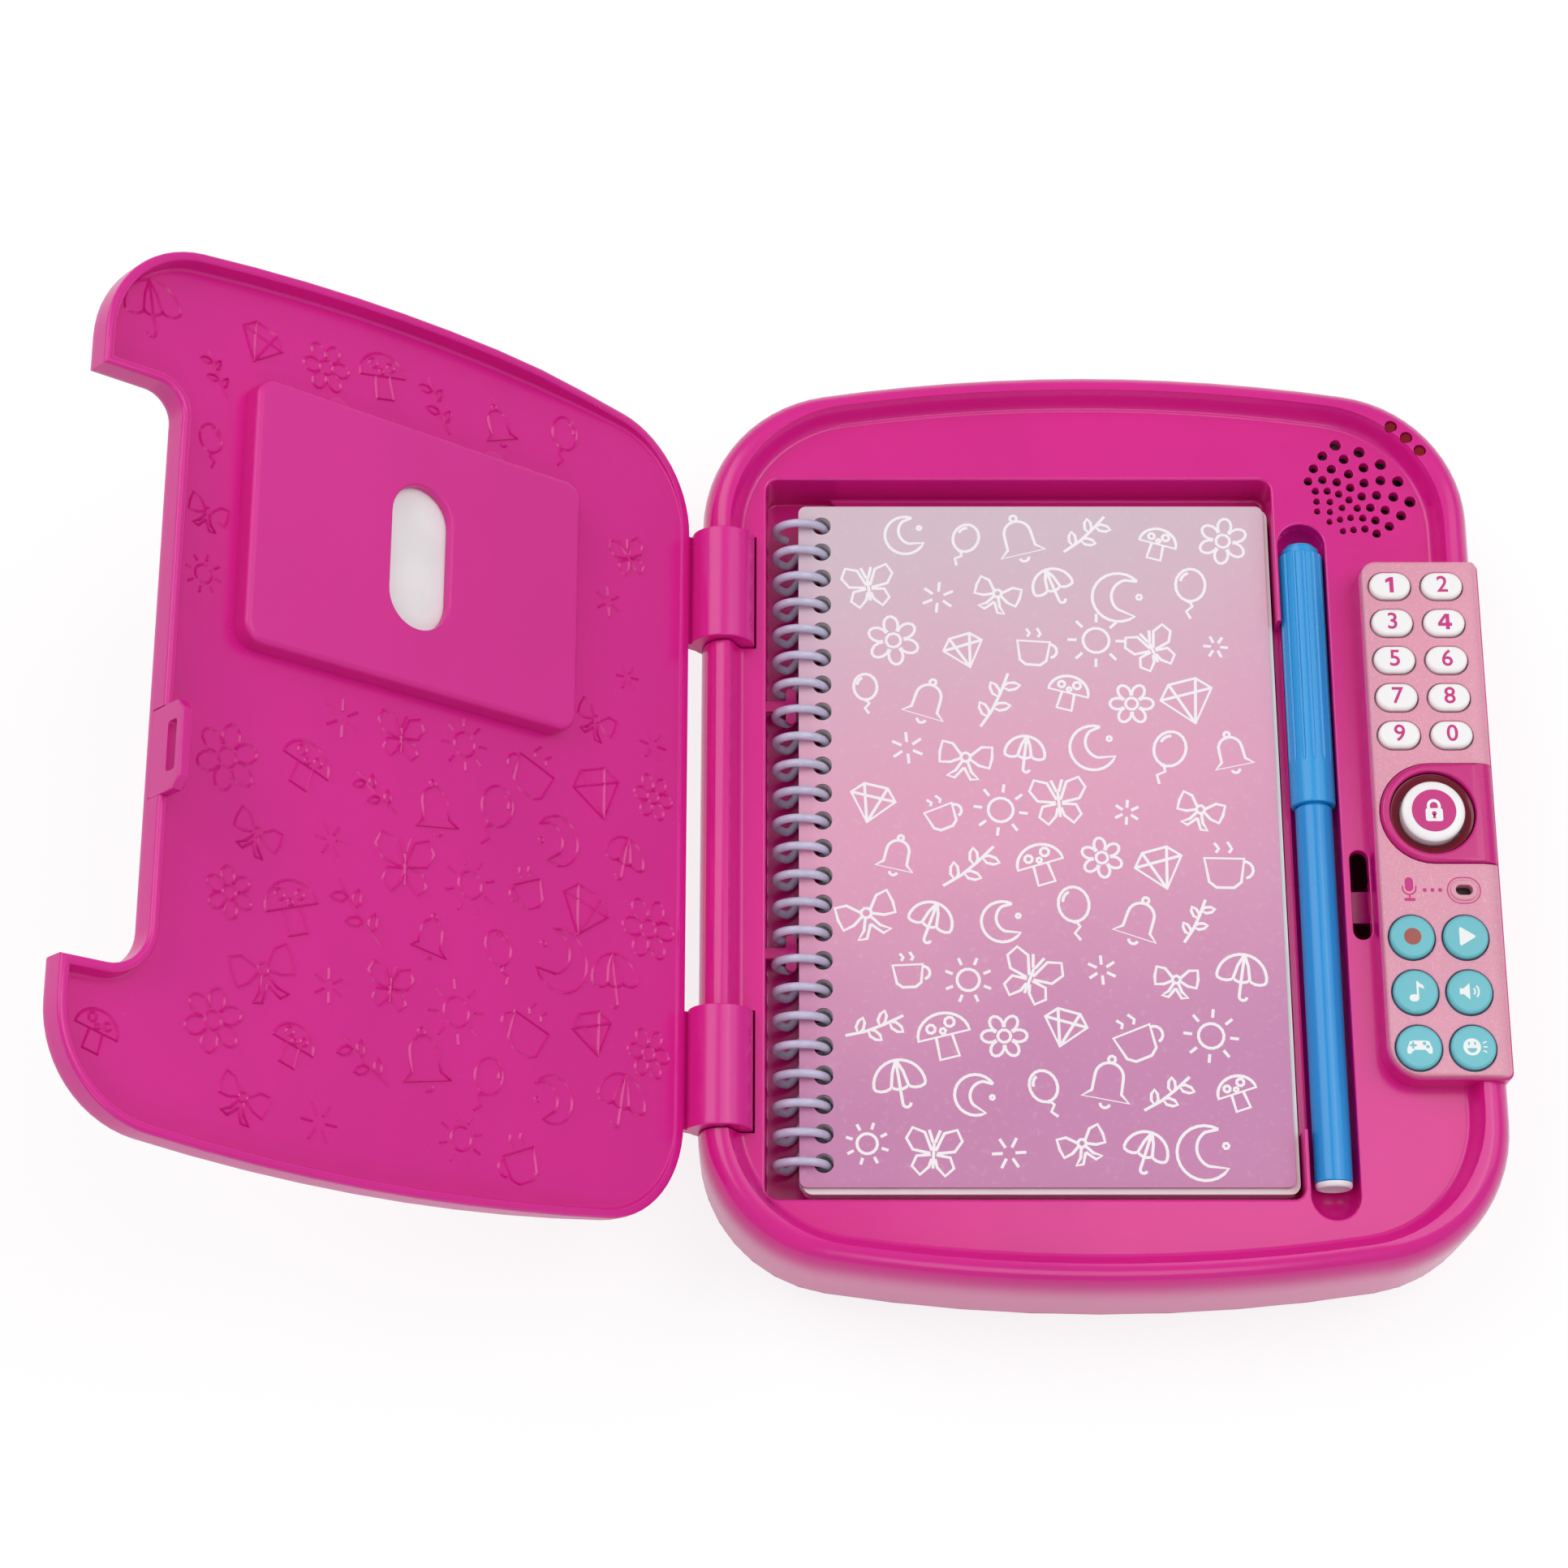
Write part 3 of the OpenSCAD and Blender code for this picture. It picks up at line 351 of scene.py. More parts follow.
    @staticmethod
    def lathe(name: str, points: list[Point], origin: Place,
              lying: bool = False, steps: int = 48) -> Object:
        """Turns a profile of (radius, height) round an upright axis, or round one along Y.

        Args:
            name: Name of the new object.
            points: The profile, from one end of the axis to the other.
            origin: Where height 0 on the axis lies.
            lying: Whether the axis lies along Y.
            steps: Sides of the turned piece.

        Returns:
            The closed solid.
        """
        obj = Bench.draw(name, Path.polygon(*points), 0)
        bpy.ops.mesh.select_all(action="SELECT")
        bpy.ops.mesh.spin(steps=steps, angle=math.tau, center=(0, 0, 0), axis=(0, 1, 0))
        Bench.close(obj)
        turn = Matrix.Identity(4) if lying else Matrix.Rotation(math.pi / 2, 4, "X")
        return Bench.place(obj, Matrix.Translation(Vector(origin) * MM) @ turn)

    @staticmethod
    def mesh(obj: Object) -> Object:
        """Turns a curve or a text into a closed mesh."""
        Bench.only(obj)
        bpy.ops.object.convert(target="MESH")
        Bench.edit(obj)
        return Bench.close(obj)

    @staticmethod
    def place(obj: Object, matrix: Matrix) -> Object:
        """Moves an object by a matrix and makes its mesh hold the place."""
        obj.matrix_world = matrix @ obj.matrix_world
        Bench.only(obj)
        bpy.ops.object.transform_apply(location=True, rotation=True, scale=True)
        return obj

    @staticmethod
    def rod(name: str, start: Place, r: float, length: float,
            soft: float = 0.0) -> Object:
        """Builds a rod along +Y with rounded ends."""
        steps = [(0.0, 0.0)]
        if soft:
            steps += [(r - soft + soft * math.sin(t), soft - soft * math.cos(t))
                      for t in (i * math.pi / 8 for i in range(5))]
            steps += [(x, length - y) for x, y in reversed(steps[1:])]
        else:
            steps += [(r, 0.0), (r, length)]
        return Bench.lathe(name, steps + [(0.0, length)], start, lying=True)

    @staticmethod
    def merge(obj: Object, *others: Object, how: str = "UNION") -> Object:
        """Combines solids by a boolean and removes the others.

        Args:
            obj: The solid that stays.
            others: Solids to add, or to take away.
            how: UNION, DIFFERENCE or INTERSECT.

        Returns:
            The solid that stays.
        """
        for other in others:
            Bench.only(obj)
            step = obj.modifiers.new("step", "BOOLEAN")
            step.operation, step.solver, step.object = how, "EXACT", other
            bpy.ops.object.modifier_apply(modifier=step.name)
            bpy.data.objects.remove(other, do_unlink=True)
        return obj

    @staticmethod
    def cut(obj: Object, *tools: Object) -> Object:
        """Takes the tools away from a solid."""
        return Bench.merge(obj, *tools, how="DIFFERENCE")

    @staticmethod
    def clean(obj: Object) -> Object:
        """Removes the slivers that booleans leave."""
        Bench.edit(obj)
        bpy.ops.mesh.select_all(action="SELECT")
        bpy.ops.mesh.dissolve_degenerate(threshold=LEVEL)
        bpy.ops.object.mode_set(mode="OBJECT")
        return obj

    @staticmethod
    def join(name: str, pieces: Iterable[Object]) -> Object:
        """Joins separate pieces into the first one."""
        objs = list(pieces)
        Bench.only(*objs)
        if len(objs) > 1:
            bpy.ops.object.join()
        objs[0].name = name
        return objs[0]

    @staticmethod
    def copy(obj: Object, x: float, y: float, z: float = 0.0) -> Object:
        """Copies an object with its own mesh and shifts the copy."""
        Bench.only(obj)
        step = {"value": (x * MM, y * MM, z * MM)}
        bpy.ops.object.duplicate_move(TRANSFORM_OT_translate=step)
        twin = bpy.context.object
        Bench.only(twin)
        bpy.ops.object.transform_apply(location=True, rotation=True, scale=True)
        return twin

    @staticmethod
    def row(obj: Object, spots: list[tuple[float, ...]]) -> Iterator[Object]:
        """Sets a copy of an object on one spot after another, and then removes the first one."""
        for spot in spots:
            yield Bench.copy(obj, *spot)
        bpy.data.objects.remove(obj, do_unlink=True)

    @staticmethod
    def dress(obj: Object, material: Material, smooth: float = 38.0, even: bool = True) -> Object:
        """Gives a piece its finish and its shading.

        Args:
            obj: The piece.
            material: Its finish.
            smooth: Edges flatter than this many degrees look smooth.
            even: Whether large flats keep their own normals.

        Returns:
            The piece.
        """
        obj.data.materials.clear()
        obj.data.materials.append(material)
        Bench.only(obj)
        bpy.ops.object.shade_smooth_by_angle(angle=math.radians(smooth))
        if even:
            step = obj.modifiers.new("even", "WEIGHTED_NORMAL")
            step.keep_sharp, step.weight = True, 80
            bpy.ops.object.modifier_apply(modifier=step.name)
        return obj


def settle(obj: Object, finish: Finish, body: str, node: str | None = None,
           smooth: float = 38.0, even: bool = True) -> Object:
    """Dresses a piece, sets it on its body and lets it stand for its CAD node.

    Args:
        obj: The piece.
        finish: Its finish.
        body: The CAD body that it rides on.
        node: The CAD node that it stands for, if any.
        smooth: Edges flatter than this many degrees look smooth.
        even: Whether large flats keep their own normals.

    Returns:
        The piece.
    """
    Bench.dress(obj, finish.material(), smooth, even)
    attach(obj, body)
    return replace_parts(obj, node) if node else obj


# Finishes


class Value:
    """A shader value that can be used in sums, products and comparisons."""

    def __init__(self, recipe: Recipe, socket: NodeSocket) -> None:
        """Wraps one output socket of a recipe."""
        self.recipe = recipe
        self.socket = socket

    def _math(self, operation: str, *others: Value | float) -> Value:
        """Feeds this value and the others to a Math node."""
        inputs = dict(enumerate((self, *others)))
        return self.recipe.node("ShaderNodeMath", {"operation": operation}, inputs)

    def __add__(self, other: Value | float) -> Value:
        """Adds."""
        return self._math("ADD", other)

    def __sub__(self, other: Value | float) -> Value:
        """Subtracts."""
        return self._math("SUBTRACT", other)

    def __mul__(self, other: Value | float) -> Value:
        """Multiplies."""
        return self._math("MULTIPLY", other)

    def __truediv__(self, other: Value | float) -> Value:
        """Divides."""
        return self._math("DIVIDE", other)

    __radd__ = __add__
    __rmul__ = __mul__

    def sine(self) -> Value:
        """Takes the sine."""
        return self._math("SINE")

    def ramp(self, low: float, high: float) -> Value:
        """Turns low to high smoothly into 0 to 1."""
        return self.recipe.node(
            "ShaderNodeMapRange",
            {"interpolation_type": "SMOOTHSTEP"},
            {"Value": self, "From Min": low, "From Max": high},
        )


class Recipe:
    """One finish while it is mixed from shader nodes around a Principled shader."""

    def __init__(self, name: str) -> None:
        """Starts an empty material with its shader and its object coordinates."""
        self.material: Material = bpy.data.materials.new(name)
        self.material.use_nodes = True
        self.tree = self.material.node_tree
        self.shader: Node = self.tree.nodes["Principled BSDF"]
        self.place = self.raw("ShaderNodeTexCoord", {}, {}).outputs["Object"]

    def feed(self, socket: NodeSocket, value: Value | NodeSocket | Colour | float) -> None:
        """Links a value to a socket, or makes it the socket's own value."""
        value = value.socket if isinstance(value, Value) else value
        if isinstance(value, NodeSocket):
            self.tree.links.new(value, socket)
        else:
            socket.default_value = (*value, 1.0) if socket.type == "RGBA" else value

    def raw(self, kind: str, settings: dict, inputs: dict) -> Node:
        """Adds a node, its settings first and then its socket values and links.

        Args:
            kind: Blender's node type.
            settings: Attributes of the node.
            inputs: Values, colours, sockets or Values by socket name or number.

        Returns:
            The node.
        """
        made = self.tree.nodes.new(kind)
        for key, value in settings.items():
            setattr(made, key, value)
        for key, value in inputs.items():
            self.feed(made.inputs[key], value)
        return made

    def node(self, kind: str, settings: dict, inputs: dict, output: str | int = 0) -> Value:
        """Adds a node and gives one of its outputs."""
        return Value(self, self.raw(kind, settings, inputs).outputs[output])

    def noise(self, size: float, detail: float = 2.0, stretch: Place = (1, 1, 1)) -> Value:
        """Gives noise whose blotches are about size mm wide.

        Args:
            size: Width of a blotch in mm.
            detail: Octaves of finer noise.
            stretch: Scale along each axis.

        Returns:
            Noise about 0.5.
        """
        place = self.raw("ShaderNodeMapping", {}, {"Vector": self.place, "Scale": stretch})
        return self.node(
            "ShaderNodeTexNoise",
            {},
            {"Vector": place.outputs[0], "Scale": 1000 / size, "Detail": detail},
        )

    def axes(self) -> tuple[Value, Value, Value]:
        """Gives object x, y and z in mm."""
        split = self.raw("ShaderNodeSeparateXYZ", {}, {0: self.place})
        return tuple(Value(self, out) * 1000.0 for out in split.outputs)

    def mix(self, factor: Value | float, a: Colour | Value, b: Colour | Value) -> Value:
        """Mixes two colours."""
        return self.node(
            "ShaderNodeMix", {"data_type": "RGBA"}, {0: factor, 6: a, 7: b}, 2
        )

    def set(self, **values: float | Colour | Value) -> None:
        """Sets the shader's sockets; underscores in names stand for spaces."""
        for key, value in values.items():
            self.feed(self.shader.inputs[key.replace("_", " ")], value)

    def bump(self, height: Value, depth: float) -> None:
        """Raises the surface by a height from 0 to 1, depth mm tall."""
        inputs = {"Height": height, "Distance": depth * MM, "Strength": 1.0}
        self.set(Normal=self.raw("ShaderNodeBump", {}, inputs).outputs[0])


@dataclass(frozen=True)
class Plastic:
    """Moulded plastic with faint flow marks, a fine skin and a few handling marks."""

    colour: Colour
    roughness: float = 0.3
    drift: float = 0.05
    grain: float = 0.35
    depth: float = 0.004
    coat: float = 0.0
    speckle: float = 0.0
    gloss: float = 0.5

    def mixed(self, name: str) -> Material:
        """Mixes the finish under a name."""
        r = Recipe(name)
        flow = r.noise(38, 3.0, (1, 0.45, 1)).ramp(0.3, 0.7)
        dark = shade(self.colour, 1 - self.drift * 1.6)
        colour = r.mix(flow, dark, shade(self.colour, 1 + self.drift, self.drift * 0.01))
        if self.speckle:
            flake = r.noise(0.3, 1.0).ramp(0.54, 0.74)
            colour = r.mix(flake, colour, shade(self.colour, 1, self.speckle))
        skin = r.noise(self.grain, 2.0)
        marks = r.noise(7, 5.0, (1, 3.5, 1)).ramp(0.62, 0.78)
        r.set(
            Base_Color=colour,
            Roughness=self.roughness + (skin - 0.5) * 0.05 + marks * 0.04,
            Specular_IOR_Level=self.gloss,
            Coat_Weight=self.coat,
            Coat_Roughness=0.12,
            IOR=1.5,
        )
        r.bump(skin + marks * 0.2, self.depth)
        return r.material


@dataclass(frozen=True)
class Metal:
    """Plated or bare metal with drawn lines."""

    colour: Colour
    roughness: float = 0.32

    def mixed(self, name: str) -> Material:
        """Mixes the finish under a name."""
        r = Recipe(name)
        lines = r.noise(0.4, 3.0, (1, 0.06, 1))
        stain = r.noise(6, 4.0).ramp(0.5, 0.8)
        dull = shade(self.colour, 0.72)
        r.set(
            Base_Color=r.mix(stain, self.colour, dull),
            Metallic=1.0,
            Roughness=self.roughness + (lines - 0.5) * 0.2 + stain * 0.12,
        )
        r.bump(lines, 0.004)
        return r.material


@dataclass(frozen=True)
class Board:
    """Grey board or paper: fibres, and leaf lines where it is a block of sheets."""

    colour: Colour
    leaves: float = 0.0
    roughness: float = 0.75

    def mixed(self, name: str) -> Material:
        """Mixes the finish under a name."""
        r = Recipe(name)
        fibre = r.noise(0.5, 4.0, (1, 0.5, 1))
        cloud = r.noise(9, 3.0).ramp(0.3, 0.7)
        colour = r.mix(cloud, shade(self.colour, 0.95), self.colour)
        height = fibre
        if self.leaves:
            _, _, z = r.axes()
            wave = r.noise(14, 2.0) * 0.04
            line = ((z + wave) * (math.tau / self.leaves)).sine().ramp(0.2, 1.0)
            colour = r.mix(line * 0.35, colour, shade(self.colour, 0.6))
            height = fibre + line * -0.8
        r.set(Base_Color=colour, Roughness=self.roughness)
        r.bump(height, 0.02)
        return r.material


@dataclass(frozen=True)
class CoverPrint:
    """Printed card whose colour drifts from a pale far left corner to a mauve near one."""

    far: Colour
    middle: Colour
    near: Colour

    def mixed(self, name: str) -> Material:
        """Mixes the finish under a name."""
        r = Recipe(name)
        x, y, _ = r.axes()
        cloud = (r.noise(46, 2.0) - 0.5) * 0.22
        t = (y + 77.15) / 147.5 - (x + 60.65) / 98.8 * 0.16 + cloud
        colour = r.mix(t.ramp(0.02, 0.5), self.near, self.middle)
        colour = r.mix(t.ramp(0.42, 1.0), colour, self.far)
        fleck = r.noise(1.1, 3.0)
        colour = r.mix(fleck.ramp(0.55, 0.8) * 0.12, colour, (0.9, 0.85, 0.88))
        r.set(Base_Color=colour, Roughness=0.42 + (fleck - 0.5) * 0.15, Coat_Weight=0.12)
        r.bump(r.noise(0.8, 3.0), 0.008)
        return r.material


@dataclass(frozen=True)
class Wire:
    """Plastic-coated binding wire with a faint drawn sheen."""

    colour: Colour

    def mixed(self, name: str) -> Material:
        """Mixes the finish under a name."""
        r = Recipe(name)
        tone = r.noise(3, 2.0).ramp(0.35, 0.7)
        dark = shade(self.colour, 0.86)
        r.set(
            Base_Color=r.mix(tone, dark, self.colour),
            Roughness=0.22 + r.noise(0.6, 2.0) * 0.08,
            Coat_Weight=0.3,
        )
        r.bump(r.noise(0.5, 2.0), 0.002)
        return r.material


@dataclass(frozen=True)
class Circuit:
    """Green circuit board with copper tracks under its lacquer."""

    colour: Colour

    def mixed(self, name: str) -> Material:
        """Mixes the finish under a name."""
        r = Recipe(name)
        x, y, _ = r.axes()
        wander = r.noise(5, 2.0) * 4.0
        track = ((x + wander) * 2.6).sine().ramp(0.75, 0.9)
        pad = ((y + wander) * 1.9).sine().ramp(0.9, 0.97)
        r.set(Base_Color=r.mix(track + pad, self.colour, shade(self.colour, 1.9)), Roughness=0.35)
        r.bump(track, 0.03)
        return r.material


class Finish(Enum):
    """Every finish on the diary."""

    CASE = Plastic(rgb(222, 24, 144), 0.20, 0.03, 4.0, 0.0020, 0.12, gloss=0.5)
    LID = Plastic(rgb(222, 26, 148), 0.25, 0.03, 4.0, 0.0020, 0.08, gloss=0.5)
    POCKET = Plastic(rgb(222, 36, 150), 0.40, 0.03, grain=0.5, depth=0.0012)
    PAN = Plastic(rgb(216, 26, 138), 0.36, 0.03, grain=0.5, depth=0.002, gloss=0.3)
    BEZEL = Plastic(rgb(228, 154, 178), 0.36, 0.03, 0.4, 0.006, 0.15, 0.10)
    KEY = Plastic(rgb(251, 249, 250), 0.30, 0.015, coat=0.15)
    BUTTON = Plastic(rgb(108, 196, 208), 0.30, 0.03, coat=0.1)
    SURROUND = Plastic(rgb(206, 10, 126), 0.26, 0.03, coat=0.1)
    RING = Plastic(rgb(118, 3, 36), 0.16, 0.10, depth=0.002, coat=0.1)
    LED = Plastic(rgb(132, 6, 24), 0.3, 0.05, gloss=0.2)
    WHITE_PRINT = Plastic(rgb(250, 246, 249), 0.45, 0.01)
    ICON_WHITE = Plastic(rgb(246, 248, 248), 0.4, 0.01)
    ICON_PINK = Plastic(rgb(206, 40, 132), 0.4, 0.02)
    ICON_RED = Plastic(rgb(168, 84, 76), 0.4, 0.02)
    CAP = Plastic(rgb(24, 160, 232), 0.28, 0.03, coat=0.15)
    BARREL = Plastic(rgb(6, 150, 226), 0.24, 0.03, coat=0.2)
    PLUG = Plastic(rgb(238, 236, 242), 0.35, 0.02)
    INK = Plastic(rgb(40, 60, 150), 0.6, 0.1, 0.2, 0.02)
    MAT = Plastic(rgb(222, 218, 214), 0.6, 0.03)
    DARK = Plastic(rgb(34, 30, 34), 0.5, 0.1)
    INNER = Plastic(rgb(150, 50, 110), 0.45, 0.05)
    CARD = Board(rgb(246, 244, 244), roughness=0.5)
    BACKING = Board(rgb(196, 190, 190), 0.5)
    PAPER = Board(rgb(246, 244, 240), 0.32)
    CELL = Plastic(rgb(50, 62, 74), 0.3, 0.1, coat=0.3)
    STEEL = Metal(rgb(196, 196, 200))
    COPPER = Metal(rgb(190, 110, 60), 0.4)
    CIRCUIT = Circuit(rgb(36, 104, 58))
    COVER = CoverPrint(rgb(216, 194, 206), rgb(230, 164, 194), rgb(202, 132, 178))
    WIRE = Wire(rgb(208, 204, 232))

    def material(self) -> Material:
        """Gives the finish's material and mixes it the first time."""
        name = f"{self.name.lower()}_finish"
        return bpy.data.materials.get(name) or self.value.mixed(name)


# Places that more than one sub-assembly uses, in mm

HINGE: Point = (-76.5, 30.5)  # x and z of the hinge's axis
KNUCKLES: Point = (49.3, -54.2)  # y of the middle of each knuckle
OPENED = 138.7  # degrees from the closed lid to the open one
PAD: Box = (55.9, -57.5, 81.0, 53.5)  # the keypad block
PEN: Point = (45.45, 27.5)  # x and z of the pen's axis in its groove
LOOP_Y = -17.2  # y of the latch loop and of its slot


# The case


@dataclass
class Case:
    """The upper shell: bowed rim, deck, tray, pen groove, keypad wall and hinge pockets."""

    hx: float = 81.0
    hy: float = 99.0
    corner: float = 30.0
    bow: float = 360.0
    seam_z: float = 8.0
    deck_z: float = 30.0
    wall: float = 2.2
    hinge: Point = HINGE
    knuckles: Point = KNUCKLES
    pocket_r: float = 7.05
    pocket_l: float = 25.3
    tray: Box = (-67.45, -80.15, 39.6, 75.25)
    tray_floor: float = 19.7
    channel: Point = (-52.55, 17.0)
    groove: Place = (-84.2, 64.9, 4.9)
    pen: Point = PEN
    pad: Box = PAD
    slot: Box = (53.75, LOOP_Y, 3.8, 19.0)
    tongues: Point = (-27.2, 26.8)
    grille: Point = (50.5, 64.0)
    fan: float = 49.0
    lights: tuple[Point, ...] = ((65.1, 85.4), (68.2, 82.8), (70.9, 79.8))
    light_r: float = 1.24
    light_room: float = 0.08
    tray_wall: float = 1.8
    tongue_z: float = 20.9

    def outline(self, inset: float = 0.0) -> Path:
        """Gives the case's outline, shrunk by inset."""
        return Path.bowed(
            0, 0, self.hx - inset, self.hy - inset, self.corner - inset, self.bow - inset
        )

    def pad_outline(self, inset: float = 0.0) -> Path:
        """Gives the keypad block's outline, shrunk by inset."""
        x0, y0, x1, y1 = self.pad
        right = max(1.6 - inset, 0.4)
        return Path.rounded(
            x0 + inset, y0 + inset, x1 - inset, y1 - inset,
            (7 - inset, right, right, max(3.5 - inset, 0.6)),
        )

    def rim(self) -> Object:
        """Builds the block of the shell with its rounded rim and its deck."""
        mid = 20.0
        crown = [
            (0, mid), (0, 23.0), (0.04, 25.2), (0.16, 27.6), (0.42, 29.7), (0.85, 31.4),
            (1.45, 32.8), (2.2, 33.8), (3.1, 34.5), (4.1, 34.9), (5.0, 35.0), (5.9, 34.96),
            (6.8, 34.88),
        ]
        base = [(0, -(mid - self.seam_z - 0.35)), (0.12, -0.23), (0.35, -0.12)]
        block = Bench.solid("case_top", self.outline(), mid, profile(crown), base)
        edge = Path.bowed(0, 0, self.hx - 6.0, self.hy - 5.0, 27.5, self.bow - 5)
        fall = [
            (0, 34.75), (0.35, 34.3), (0.85, 33.3), (1.3, 32.05), (1.7, 31.1), (2.1, 30.45),
            (2.5, 30.1), (3.0, 30.0),
        ]
        recess = Bench.solid("recess", edge, 36.5, [(0, -1.75)] + profile(fall))
        return Bench.cut(block, recess)

    def hollow(self) -> Object:
        """Builds the space under the deck, around the tray, the groove and the hinge."""
        x0, y0, x1, y1 = self.tray
        w = self.tray_wall
        space = Bench.solid("hollow", self.outline(self.wall), 7.0, [(0, 20.8)])
        tray = Bench.solid(
            "walls", Path.rounded(x0 - w, y0 - w, x1 + 1, y1 + w, 4.3),
            self.tray_floor - self.wall, [(0, 20)],
        )
        channel = Bench.solid(
            "walls", Path.rounded(x0 - w, y0 - w, self.channel[0] + self.wall, y1 + w, 4.1),
            self.channel[1] - self.wall, [(0, 20)],
        )
        g0, g1, gr = self.groove
        trough = Bench.rod(
            "walls", (self.pen[0], g0 - 2, self.pen[1]), gr + 1.4, g1 - g0 + 4
        )
        return Bench.cut(space, tray, channel, trough, *self.pockets(w))

    def pockets(self, wall: float = 0.0) -> list[Object]:
        """Builds the round spaces of the two knuckles, grown by a wall."""
        length = self.pocket_l + 2 * wall
        return [
            Bench.rod(
                "pocket", (self.hinge[0], y - length / 2, self.hinge[1]),
                self.pocket_r + wall, length,
            )
            for y in self.knuckles
        ]

    def tray_space(self) -> list[Object]:
        """Builds the tray and its deeper channel, with a rounded lip at the deck."""
        x0, y0, x1, y1 = self.tray
        e = 0.5
        tray = Bench.solid(
            "tray", Path.rounded(x0 - e, y0 - e, x1 + e, y1 + e, 2.5 + e), self.deck_z + 2,
            [(0, -2)] + lip(e) + [(0, self.tray_floor + 0.8 - self.deck_z + e)]
            + down(over(0.8, 3)),
        )
        channel = Bench.solid(
            "channel", Path.rounded(x0 + 0.02, y0 + 0.02, self.channel[0], y1 - 0.02, 2.3),
            self.tray_floor + 3, [(0, self.channel[1] - self.tray_floor - 2.5)]
            + down(over(0.5, 2)),
        )
        return [tray, channel]

    def groove_space(self) -> list[Object]:
        """Builds the pen's groove: a round bed under a long rounded opening."""
        y0, y1, r = self.groove
        x, z = self.pen
        e = 0.4
        bed = Bench.rod("bed", (x, y0, z), r, y1 - y0, r)
        mouth = Bench.solid(
            "mouth", Path.stadium(x, (y0 + y1) / 2, 2 * (r + e), y1 - y0 + 2 * e),
            self.deck_z + 2, [(0, -2)] + lip(e) + [(0, z - self.deck_z + e)],
        )
        return [bed, mouth]

    def grille_holes(self) -> Object:
        """Builds the loudspeaker's holes: a fan of arcs whose holes grow towards the corner."""
        gx, gy = self.grille
        far = (2.0, 4.1, 6.3, 8.7, 11.2, 13.9, 16.8, 19.6)
        count = (1, 4, 5, 7, 8, 7, 6, 5)
        apart = (0, 38.5, 26, 16.6, 15.8, 15.7, 15.6, 15.4)
        size = (0.66, 0.7, 0.74, 0.81, 0.93, 1.0, 1.06, 1.2)
        holes = []
        for reach, n, step, r in zip(far, count, apart, size):
            hole = Bench.solid(
                "hole", Path.circle(0, 0, r + 0.15), self.deck_z + 1,
                [(0, -1)] + lip(0.15, 2) + [(0, -4.6)],
            )
            turns = [math.radians(self.fan + (i - (n - 1) / 2) * step) for i in range(n)]
            holes += Bench.row(hole, [(gx + reach * math.cos(a), gy + reach * math.sin(a))
                                      for a in turns])
        return Bench.join("holes", holes)

    def keypad_wall(self) -> tuple[Object, list[Object]]:
        """Builds the wall that carries the keypad plate, and the spaces inside it."""
        wall = Bench.solid(
            "pad", self.pad_outline(), self.deck_z - self.wall, [(0, 7.75)] + over(0.45, 3),
        )
        inside = Bench.solid("inside", self.pad_outline(0.75), self.deck_z + 5.2, [(0, 7)])
        floor = Bench.solid("floor", self.pad_outline(1.9), self.deck_z - 5, [(0, 11)])
        return wall, [inside, floor]

    def latch_slot(self) -> list[Object]:
        """Builds the slot for the lid's latch loop and the bolt's window into it."""
        x, y, w, length = self.slot
        e = 0.2
        slot = Bench.solid(
            "slot", Path.stadium(x, y, w + 2 * e, length + 2 * e), self.deck_z + 7,
            [(0, -7)] + lip(e, 3) + [(0, -4.4)],
        )
        side = Path.rounded(x, y - 4.7, 61.0, y + 4.7, 0.3)
        return [slot, Bench.solid("window", side, 25.6, [(0, 2.8)])]

    def hooks(self) -> list[Object]:
        """Builds the two tongues in the channel that hold the notebook's coil."""
        return [
            Bench.solid("hook", Path.rounded(x0, y - half, x1, y + half, r), self.tongue_z,
                        [(0, rise)] + over(edge, 2))
            for y in self.tongues
            for x0, x1, half, r, rise, edge in (
                (-68.45, -62.0, 1.2, 0.2, 0.9, 0.2), (-63.35, -61.05, 4.0, 1.1, 0.85, 0.25),
            )
        ]

    def stops(self) -> list[Object]:
        """Builds the wedges outside the hinge that stop the open lid."""
        made = []
        for y in self.knuckles:
            wedge = Bench.solid("wedge", Path.rounded(-2.5, 0, 3, 20.5, 0.4), 6.72,
                                [(0, 2.43)] + over(0.25, 2))
            turn = Matrix.Rotation(math.radians(-OPENED), 4, "Y")
            spot = Vector((self.hinge[0], y - 10.25, self.hinge[1])) * MM
            made.append(Bench.place(wedge, Matrix.Translation(spot) @ turn))
        return made

    def build(self) -> list[Object]:
        """Builds the upper shell and lets it stand for its CAD node."""
        shell = self.rim()
        Bench.cut(shell, self.hollow())
        wall, spaces = self.keypad_wall()
        Bench.merge(shell, wall, *self.stops())
        Bench.cut(shell, *spaces, *self.pockets(), *self.tray_space(), *self.groove_space())
        Bench.cut(shell, *self.latch_slot())
